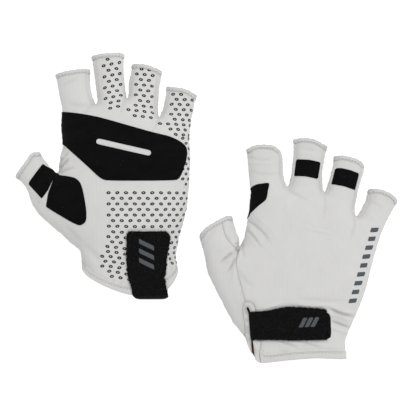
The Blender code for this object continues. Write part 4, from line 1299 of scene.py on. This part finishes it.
class Glove:
    """One glove's pieces, and the hand's body that those on the hand ride on."""

    def __init__(self, spec):
        self.surface = Surface(spec)
        self.spec = spec
        self.side = spec["side"]
        self.hand = self.side + "_hand"
        self.bends = {digit: self.bend_of(digit) for digit in spec["tips"]}
        self.dots = {}
        self.threads = {}

    def bend_of(self, digit):
        """Where a digit's bend starts and ends, from its joint in the frame."""
        joint = next(j for j in frame["joints"] if j["child"] == "%s_%s" % (self.side, digit))
        pivot = np.array(joint["pos_m"])
        axis = np.array(joint["axis"])
        way = np.array([-axis[1], axis[0], 0.0])
        tip = (np.array([*self.spec["tips"][digit], 0.0]) - CENTRE) * MM
        way *= np.sign((tip - pivot) @ way)
        split = self.surface.splits[digit]
        split = np.column_stack([split, np.zeros(len(split))])
        furthest = max(((split - CENTRE) * MM - pivot) @ way)
        start = pivot + furthest * way
        return start, start + BEND_LENGTH * MM * way

    def attach(self, piece, digit):
        """Let a piece ride on the hand; a digit's piece is only fixed where it lies."""
        if digit == "hand":
            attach(piece, self.hand)
        else:
            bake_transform(piece)

    def cloth(self, name, chosen, digit, nodes, outer=0.0):
        """A knitted panel, carrying the painted shade of seams, folds and hems and the hem bands' own
        slight tint.
        """
        if not chosen.any():
            return
        full = "%s_%s" % (self.side, name)
        piece = region(full, self.surface, chosen, -CLOTH, outer, "knit", seam=self.painted_shade_and_hem_tint)
        self.attach(piece, digit)
        if nodes:
            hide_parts(*[self.side + "_" + node for node in nodes])

    def paint_seam_and_fold_shade(self):
        """Painted shade for each corner's cloth: down in seams, along the facing's border and the slit's
        edge, and in the deeper folds.
        """
        surface = self.surface
        flat = surface.points[:, :2]
        on_back = surface.faces_side("back")
        shade = np.zeros(len(flat))
        for line, face, dark in surface.seam_lines():
            crease = np.exp(-(distance_to(line, flat) / SEAM_BLUR) ** 2) * dark
            shade = np.maximum(shade, crease * surface.faces_side(face))
        # painted shade along the facing's border and the slit's edge
        for edge in (surface.facing, surface.slit):
            away = distance_to(np.vstack([edge, edge[:1]]), flat)
            shade = np.maximum(shade, np.exp(-(away / SEAM_BLUR) ** 2) * on_back)
        # painted shade in the dips of the deeper folds
        rate, most = FOLD_PAINTED_SHADE
        for face, start, end, width, depth in surface.folds:
            if depth < 0:
                dip = -surface.fold(face, start, end, 0.8 * width, depth)
                shade = np.maximum(shade, np.minimum(rate * dip, most))
        return shade

    def roll_hems(self, facing):
        """Add the hems' painted shade lines, and the hem bands' own slight tint, to the painted shade.
        Returns the hems' heights and their triangles.
        """
        surface = self.surface
        flat = surface.points[:, :2]
        faced = inside(surface.facing, flat) & surface.faces_side("back")
        ripple = HEM_RIPPLE * np.sin(flat[:, 0] * 1.9 + flat[:, 1] * 1.3)
        shade = self.painted_shade_and_hem_tint
        lip = np.zeros(len(flat))
        near_hem = np.zeros(len(surface.faces), bool)
        for digit, mouth in zip(MOUTHS, surface.mouths):
            mine = surface.digits == digit
            own = np.zeros(len(flat), bool)
            own[surface.faces[mine].ravel()] = True
            reach = np.where(own, distance_to(mouth, flat), FAR)
            if digit == "hand":
                band = surface.hem_band()
                depth = distance_to(surface.hem, flat) * np.where(inside(band, flat), 1.0, -1.0)
                depth[faced | ~own] = -FAR
                near_hem |= mine & surface.in_polygon(band) & ~facing
                upper = np.exp(-((depth + ABOVE_HEM[0]) / ABOVE_HEM[1]) ** 2)
                shade = np.maximum(shade, HEM_PAINTED_SHADES_AND_TINT["above"] * upper)
            else:
                depth = TIP_HEM - reach
                near_hem |= mine & (distance_to(mouth, surface.centres) < TIP_HEM - INSIDE_BY)
            # painted shade along the hem's inner line and beside its cut edge, and the band's own slight
            # tint
            shade = np.maximum(shade, HEM_PAINTED_SHADES_AND_TINT["line"] * np.exp(-(depth / SEAM_BLUR) ** 2))
            shade = np.maximum(shade, HEM_PAINTED_SHADES_AND_TINT["edge"] * ease((EDGE_PAINTED_SHADE[0] - reach) / EDGE_PAINTED_SHADE[1]))
            shade = np.maximum(shade, HEM_PAINTED_SHADES_AND_TINT["all"] * (depth > 0))
            least, gain, soon = HEM_LIP
            roll = HEM_ROLL * ease(depth / GROOVE) * (least + gain * ease(reach / soon))
            lip = np.maximum(lip, roll * (1.0 + ripple))
        self.painted_shade_and_hem_tint = shade
        return lip, near_hem

    def make_cloth(self):
        """Cut the surface into palms, backs, side strips, hems and the slit's facing."""
        surface = self.surface
        back = surface.on("back")
        slit = surface.in_polygon(surface.slit) & back
        facing = back & surface.in_polygon(surface.facing) & ~slit & (surface.digits == "hand")
        # painted shade of seams, folds and hems, with the hem bands' own slight tint
        self.painted_shade_and_hem_tint = self.paint_seam_and_fold_shade()
        lip, near_hem = self.roll_hems(facing)
        for digit in ["hand"] + list(self.spec["tips"]):
            mine = surface.digits == digit
            strips = np.zeros(len(surface.faces), bool)
            for which in STRIPS.get(digit, []):
                side = surface.sides[digit, which]
                near = distance_to(side, surface.centres) < FOURCHETTE - INSIDE_BY
                strip = mine & near & ~near_hem
                strips |= strip
                node = "%s_fourchette_%s" % (digit, which)
                self.cloth("%s_side_strip_%s" % (digit, which), strip, digit, [node])
            plain = mine & ~strips & ~near_hem & ~slit & ~facing
            panel = "%s_panel" if digit == "hand" else digit + "_%s"
            for face in ("palm", "back"):
                node = panel % face
                self.cloth(node + "_cloth", plain & surface.on(face), digit, [node])
            hem_name = "wrist_hem" if digit == "hand" else digit + "_hem"
            hem_nodes = ["wrist_binding"] if digit == "hand" else []
            self.cloth(hem_name, mine & near_hem & ~slit, digit, hem_nodes, outer=lip)
        self.cloth("slit_facing_cloth", facing, "hand", ["slit_facing"], outer=FACING_PROUD)

    def make_patches(self):
        surface = self.surface
        for name, patch in self.spec["patches"].items():
            outlines = surface.outlines[name]
            chosen = np.zeros(len(surface.faces), bool)
            for face in ("palm", "back"):
                if face in outlines:
                    chosen |= surface.on(face) & surface.in_polygon(outlines[face])
            if "slot" in outlines:
                chosen &= ~(surface.on("palm") & surface.in_polygon(outlines["slot"]))
            digit = patch.get("digit", "hand")
            chosen &= surface.digits == digit
            kind = "loop" if name == "loop_patch" else "suede"
            full = "%s_%s" % (self.side, name)
            piece = region(full + "_layer", surface, chosen, 0.0, PATCH_HEIGHT, kind, PATCH_ROUNDING)
            self.attach(piece, digit)
            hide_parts(full)

    def line_and_shadow_slit(self):
        """The brown backing of the palm's cloth, which shows through the slit, dark as painted shadow
        there.
        """
        surface = self.surface
        border = np.vstack([surface.slit, surface.slit[:1]])
        near = distance_to(border, surface.centres) < LINING_REACH
        near |= inside(surface.slit, surface.centres)
        chosen = near & surface.on("palm") & (surface.digits == "hand")
        inner, outer = (-CLOTH - gap for gap in LINING_GAPS)
        piece = region(self.side + "_slit_lining", surface, chosen, inner, outer, "lining_painted_shadow")
        self.attach(piece, "hand")

    def put(self, store, shape, place, above, heading, size, lift=0.0):
        """Lay one dot or stitch on the skin, in the batch of the digit that carries it."""
        found = self.surface.hit(*place, above)
        if found is None:
            return
        point, normal, face = found
        batch = store.setdefault(self.surface.digits[face], Batch())
        batch.put(*shape, point + lift * normal, axes_at(normal, heading), np.array(size))

    def dot_rows(self, slope, sag, pitch, first, zone, above):
        """Staggered rows of dots over a zone, spaced along the curved skin and not the flat."""
        zone = np.array(zone, float)
        slope = math.radians(slope)
        turn = np.array([(math.cos(slope), math.sin(slope)), (-math.sin(slope), math.cos(slope))])
        middle, reach, dip, span = SAG
        low = (zone @ turn.T).min(axis=0)
        high = (zone @ turn.T).max(axis=0)
        up = high[1] - DOT_SCAN
        levels = []
        while up > low[1]:
            levels.append(up)
            up -= pitch[1] * (CLOSER[1] if up < CLOSER[0] else 1.0)
        for row, up in enumerate(levels, first):
            travelled = 0.0
            wanted = 0.5 * pitch[0] * (row % 2)
            before = None
            for along in np.arange(low[0], high[0] + 0.01, DOT_SCAN):
                x, y = np.array([along, up]) @ turn
                y -= sag * ease(1 - abs(x - middle) / reach) * ease((dip - y) / span)
                if not inside(zone, (x, y))[0]:
                    continue
                level = self.surface.height(x, y, above)
                if level is None:
                    continue
                if before is not None:
                    travelled += min(math.dist(before, (along, level)), DOT_CLIMB)
                before = (along, level)
                if travelled < wanted:
                    continue
                wanted = travelled + pitch[0]
                lean = slope + DOT_LEAN * math.sin(1.7 * x + 2.3 * y)
                heading = np.array([math.cos(lean), math.sin(lean), 0.0])
                self.put(self.dots, RING, (x, y), above, heading, DOT_SIZE)

    def stitch(self, line, face, lift, length=STITCH_SIZE[0]):
        """A row of stitches along a line on the palm or on the back."""
        above = self.surface.faces_up(face)
        size = (length, *STITCH_SIZE[1:])
        places = resample(line, STITCH)
        for here, after in zip(places, places[1:]):
            heading = np.array([*(after - here), 0.0])
            self.put(self.threads, THREAD, 0.5 * (here + after), above, heading, size, lift)

    def make_batches(self):
        """Turn the gathered dots and stitches into pieces, one of each for every digit."""
        kinds = ((self.dots, "grip_dots", "silicone"), (self.threads, "stitches", "thread"))
        for store, name, kind in kinds:
            for digit, batch in store.items():
                piece = batch.make("%s_%s_%s" % (self.side, digit, name), kind)
                self.attach(piece, digit)

    def sew(self):
        """Stitches along the hems, the back's seams and the slit's facing."""
        surface = self.surface
        for mouth in surface.mouths[:-1]:
            line = inset(mouth, TIP_HEM - STITCH_INSET, ends=0)
            for face in ("palm", "back"):
                self.stitch(line[1:-1], face, HEM_ROLL + STITCH_LIFT)
        for face in ("palm", "back"):
            line = inset(surface.hem, -STITCH_INSET, ends=0)
            if face == "back":
                line = line[~inside(surface.facing, line)]
            self.stitch(line[2:-2], face, HEM_ROLL + STITCH_LIFT)
        for seam in self.spec["back_seams"]:
            self.stitch(smooth_line(seam, STITCH), "back", *SEAM_STITCH)
        border = np.vstack([surface.facing, surface.facing[:1]])
        middle = surface.facing.mean(axis=0)
        away = np.linalg.norm(middle - border, axis=1)[:, None]
        inward = border + STITCH_INSET * (middle - border) / away
        inward = inward[~inside(surface.hem_band(), inward)]
        self.stitch(inward, "back", FACING_PROUD + STITCH_LIFT, FACING_STITCH)


# ---------------------------------------------------------------- straps and prints

def ribbon(name, rows):
    """Webbing swept through rows of points, thinner and slightly frayed at its edges."""
    rows = np.array(rows, float)
    count, width = rows.shape[:2]
    ragged = np.sin(np.arange(count) * 2.3) * np.sin(np.arange(count) * 0.9 + 1.0)
    outward = rows[:, -1] - rows[:, -2]
    outward /= np.linalg.norm(outward, axis=1)[:, None]
    rows[:, -1] += FRAY * ragged[:, None] * outward
    rows[:, 0] += FRAY * np.roll(ragged, 3)[:, None] * outward
    along = np.gradient(rows, axis=0)
    across = np.gradient(rows, axis=1)
    normals = np.cross(across, along)
    normals /= np.linalg.norm(normals, axis=2)[..., None]
    half = np.full((count, width, 1), 0.5 * STRAP)
    half[:, (0, -1)] *= STRAP_EDGES[0]
    half[:, (1, -2)] *= STRAP_EDGES[1]
    skins = np.concatenate([rows + half * normals, rows - half * normals]).reshape(-1, 3)
    index = np.arange(count * width).reshape(count, width)
    faces = []
    for i in range(count - 1):
        for j in range(width - 1):
            quad = [index[i, j], index[i, j + 1], index[i + 1, j + 1], index[i + 1, j]]
            faces.append(quad)
            faces.append([corner + count * width for corner in quad[::-1]])
    loop = [*index[0], *index[1:, -1], *index[-1, -2::-1], *index[-2:0:-1, 0]]
    for a, b in zip(loop, loop[1:] + loop[:1]):
        faces.append([b, a, a + count * width, b + count * width])
    return add_object(name, skins, faces, "webbing")


def edge_fuzz(name, lines, signs, seed, density=2.2, length=1.5):
    """Loose fibres along the cut edges of a strap, outward by the signs."""
    rng = np.random.default_rng(seed)
    batch = Batch()
    spike = np.array([(0, -0.5, -0.3), (0, 0.5, -0.3), (0, 0, 0.6), (1, 0, 0)])
    spike_faces = [[0, 1, 3], [1, 2, 3], [2, 0, 3], [0, 2, 1]]
    for line, sign in zip(lines, signs):
        places = resample(line, 1.0 / density)
        for here, after in zip(places, places[1:]):
            run = after - here
            side = np.cross(run, (0, 0, 1.0)) * sign
            side /= np.linalg.norm(side)
            run = run / np.linalg.norm(run)
            way = side + run * rng.uniform(-0.9, 0.9) + np.array([0, 0, rng.uniform(-0.25, 0.35)])
            way /= np.linalg.norm(way)
            up = np.array([0, 0, 1.0]) - way * way[2]
            up /= np.linalg.norm(up)
            size = np.array([length * rng.uniform(0.3, 1.0) ** 1.5, 0.3, 0.25])
            root = here + run * rng.uniform(0, 0.5)
            batch.put(spike, spike_faces, root, (way, np.cross(up, way), up), size)
    return batch.make(name, "webbing")


def decal(name, polygons, height, kind):
    """Printed shapes laid on whatever lies below them."""
    points = []
    faces = []
    for polygon in polygons:
        outline = resample(list(polygon) + [polygon[0]], PRINT_STEP)[:-1]
        spans = zip(outline.min(axis=0), outline.max(axis=0))
        across, up = (np.arange(low, high, PRINT_STEP) for low, high in spans)
        grid = np.array([(x, y) for x in across for y in up])
        grid = grid[inside(outline, grid)]
        grid = grid[distance_to(np.vstack([outline, outline[:1]]), grid) > 0.4 * PRINT_STEP]
        flat = np.vstack([outline, grid])
        edges = [(k, (k + 1) % len(outline)) for k in range(len(outline))]
        corners, _, cells, *_ = delaunay_2d_cdt([Vector(p) for p in flat], edges, [], 1, 1e-4)
        start = len(points)
        points += [(p[0], p[1], height(p[0], p[1]) + PRINT_LIFT) for p in corners]
        faces += [[start + k for k in cell] for cell in cells]
    return add_object(name, points, faces, kind)


def leaning_bar(centre, heading, length, width, slant):
    """A leaning parallelogram."""
    heading = np.array(heading, float) / np.linalg.norm(heading)
    across = np.array([-heading[1], heading[0]])
    lean = across + slant * heading
    return [centre + sx * 0.5 * width * heading + sy * 0.5 * length * lean
            for sx, sy in ((-1, -1), (1, -1), (1, 1), (-1, 1))]


# ---------------------------------------------------------------- the two straps

def strap_rows(edges, count, columns):
    """Rows of points from one edge of a strap to the other, count rows along both edges."""
    shares = np.linspace(0.0, 1.0, count)
    sides = []
    for edge in edges:
        line = resample(smooth_line(edge, 1.0), 0.2)
        travelled = length_of(line) / length_of(line)[-1]
        sides.append(np.column_stack([np.interp(shares, travelled, line[:, k]) for k in (0, 1)]))
    across = np.linspace(0.0, 1.0, columns)[None, :, None]
    return sides[0][:, None] * (1 - across) + sides[1][:, None] * across


def lay_down(rows, surface, offset):
    """Give flat rows their height over the surface, evened out as stiff webbing evens it."""
    heights = np.array([[surface.height(x, y) or np.nan for x, y in row] for row in rows])
    heights = np.where(np.isnan(heights), np.nanmean(heights), heights)
    even = heights
    for _ in range(3):
        padded = np.pad(even, 1, mode="edge")
        even = (padded[:-2, 1:-1] + padded[2:, 1:-1] + padded[1:-1, :-2] + padded[1:-1, 2:]) / 4
    level = np.maximum(even, heights) + offset
    return np.dstack([rows, level])


def round_end(rows, end, shares):
    """Round the corners of a strap's end by drawing in its last rows by these shares."""
    inward = 1 if end == 0 else -1
    for steps, share in enumerate(shares):
        row = rows[end + inward * steps]
        row += (row.mean(axis=0) - row) * share


def lay_strap(glove):
    """The rows of the glove's strap, with its free end rounded, at their height."""
    spec = STRAPS[glove.side]
    rows = strap_rows(spec["edges"], *spec["grid"])
    round_end(rows, spec["end"], spec["round"])
    return lay_down(rows, glove.surface, spec["level"])


def dress_strap(glove, strap, rows):
    """The strap's hook pad, the fluff along its edges and the bars printed on it."""
    side = glove.side
    spec = STRAPS[side]
    chosen = glove.surface.is_top & glove.surface.in_polygon(spec["hook"])
    hooks = region(side + "_hook_pad_hooks", glove.surface, chosen, *spec["hook_span"], "webbing")
    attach(hooks, side + "_strap_end")
    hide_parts(side + "_hook_pad")
    name, sign, *amounts = spec["fuzz"]
    fuzz = edge_fuzz(name, [rows[:, 0], rows[:, -1], rows[spec["end"]]], (1, -1, sign), *amounts)
    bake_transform(fuzz)
    bars = [leaning_bar(place, *spec["bar"]) for place in spec["bars"]]
    print_on = decal(side + "_strap_bars", bars, level_of(strap), "strap_ink")
    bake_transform(print_on)


def turn_row(last, turn):
    """One row of the left strap on its turn round the wrist mouth, from 0 on the palm to pi below."""
    floor = 0.5 * STRAP
    start_y = LEFT_FOLD["under_y"] if turn >= math.pi / 2 else last[:, 1].mean()
    reach = start_y - LEFT_FOLD["lip_y"]
    x = last[:, 0] + LIP_DRIFT * math.sin(turn)
    y = np.full(len(x), start_y - reach * math.sin(turn) ** SQUARENESS)
    y += (last[:, 1] - last[:, 1].mean()) * math.cos(turn / 2)
    y += np.linspace(*LIP_CORNERS, len(x)) * np.linspace(-1.0, 1.0, len(x)) ** 10 * math.sin(turn)
    z = 0.5 * (last[:, 2] + floor) + 0.5 * (last[:, 2] - floor) * math.cos(turn)
    return np.column_stack([x, y, z])


def build_left_strap(glove):
    """The opened strap: sewn under the wrist, round its mouth, and folded onto the palm."""
    top = lay_strap(glove)
    tab = ribbon("left_strap_tab_webbing", top)
    last = top[-1]
    turns = [turn_row(last, turn) for turn in np.linspace(0.0, math.pi, MOUTH_TURN)]
    for y in np.linspace(LEFT_FOLD["under_y"] + 1.2, LEFT_FOLD["root_y"], UNDER_ROWS):
        turns.append(turns[-1] * (1, 0, 1) + (0, y, 0))
    fold = ribbon("left_strap_fold_webbing", turns)
    y = last[:, 1].min()
    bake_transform(tab)
    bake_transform(fold)
    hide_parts("left_strap_tab")
    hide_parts("left_strap_fold", "left_strap_root")
    dress_strap(glove, tab, top)


def build_right_strap(glove):
    """The closed strap, from the slit across the back of the wrist."""
    top = lay_strap(glove)
    for row, sunk in zip(top, SLIT_DIVE):
        row[:, 2] -= sunk
    strap = ribbon("right_strap_webbing", top)
    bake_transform(strap)
    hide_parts("right_strap_base", "right_strap_tab")
    dress_strap(glove, strap, top)


def level_of(piece):
    """A way to ask how high a piece's upper skin is at a place in the drawing."""
    corners = [vertex.co for vertex in piece.data.vertices]
    tree = BVHTree.FromPolygons(corners, [polygon.vertices for polygon in piece.data.polygons])

    def level(x, y):
        at_x, at_y, _ = world(x, y, 0.0)
        point, *_ = tree.ray_cast(Vector((at_x, at_y, OUTSIDE * MM)), Vector((0, 0, -1)))
        return point[2] / MM

    return level


def world(x, y, z):
    """A place in the drawing as a place in the frame, in metres."""
    return tuple((np.array([x, y, z]) - CENTRE) * MM)


def print_side_bars(glove):
    """A row of leaning bars printed along the little finger's side of the back."""
    start, end = (np.array(place, float) for place in SIDE_BARS)
    heading = end - start
    length, width, slant = SIDE_BAR
    bars = []
    for k, share in enumerate(np.linspace(0.0, 1.0, SIDE_BAR_COUNT)):
        shorter = SHORTER_BAR * (k % 3 == 1)
        bars.append(leaning_bar(start + share * heading, heading, length - shorter, width, slant))
    printed = decal("right_side_bars", bars, glove.surface.height, "ink")
    glove.attach(printed, "hand")


# ---------------------------------------------------------------- floor, light and camera

def build_stage():
    """A near-white floor, soft light all round and two large lamps, and the camera overhead."""
    scene = bpy.context.scene
    mesh = bpy.data.meshes.new("floor")
    level = CAD_BOX[0][2] - FLOOR_GAP
    quarters = ((-1, -1), (1, -1), (1, 1), (-1, 1))
    corners = [(x * FLOOR_REACH, y * FLOOR_REACH, level) for x, y in quarters]
    mesh.from_pydata(corners, [], [(0, 1, 2, 3)])
    floor = bpy.data.objects.new("floor", mesh)
    scene.collection.objects.link(floor)
    paper = bpy.data.materials.new("floor_paper")
    paper.use_nodes = True
    shader = paper.node_tree.nodes["Principled BSDF"]
    shader.inputs["Base Color"].default_value = (*FLOOR_COLOUR, 1.0)
    shader.inputs["Roughness"].default_value = 0.9
    shader.inputs["Specular IOR Level"].default_value = 0.0
    shader.inputs["Emission Color"].default_value = (1.0, 1.0, 1.0, 1.0)
    shader.inputs["Emission Strength"].default_value = FLOOR_GLOW
    mesh.materials.append(paper)

    sky = bpy.data.worlds.new("studio")
    scene.world = sky
    sky.use_nodes = True
    background = sky.node_tree.nodes["Background"]
    background.inputs["Color"].default_value = (1.0, 1.0, 1.0, 1.0)
    background.inputs["Strength"].default_value = SKY_STRENGTH

    for name, place, side, watts in LAMPS:
        lamp = bpy.data.lights.new(name, "AREA")
        lamp.shape = "SQUARE"
        lamp.size = side
        lamp.energy = watts
        holder = bpy.data.objects.new(name, lamp)
        holder.location = place
        holder.rotation_euler = (-Vector(place)).to_track_quat("-Z", "Y").to_euler()
        scene.collection.objects.link(holder)

    lens = bpy.data.cameras.new("camera")
    lens.lens = LENS
    lens.sensor_width = SENSOR
    lens.clip_start = 0.05
    camera = bpy.data.objects.new("camera", lens)
    camera.location = (*VIEW_CENTRE, VIEW_LEVEL + VIEW_WIDTH * LENS / SENSOR)
    scene.collection.objects.link(camera)
    scene.camera = camera
    scene.view_settings.view_transform = "Standard"


def build():
    left = Glove(LEFT)
    right = Glove(RIGHT)
    for glove in (left, right):
        glove.make_cloth()
        glove.make_patches()
        glove.line_and_shadow_slit()
        for rows in glove.spec["dots"]:
            glove.dot_rows(*rows, glove.surface.faces_up("palm"))
        glove.sew()
        glove.make_batches()
    build_left_strap(left)
    build_right_strap(right)
    print_side_bars(right)
    build_stage()


build()
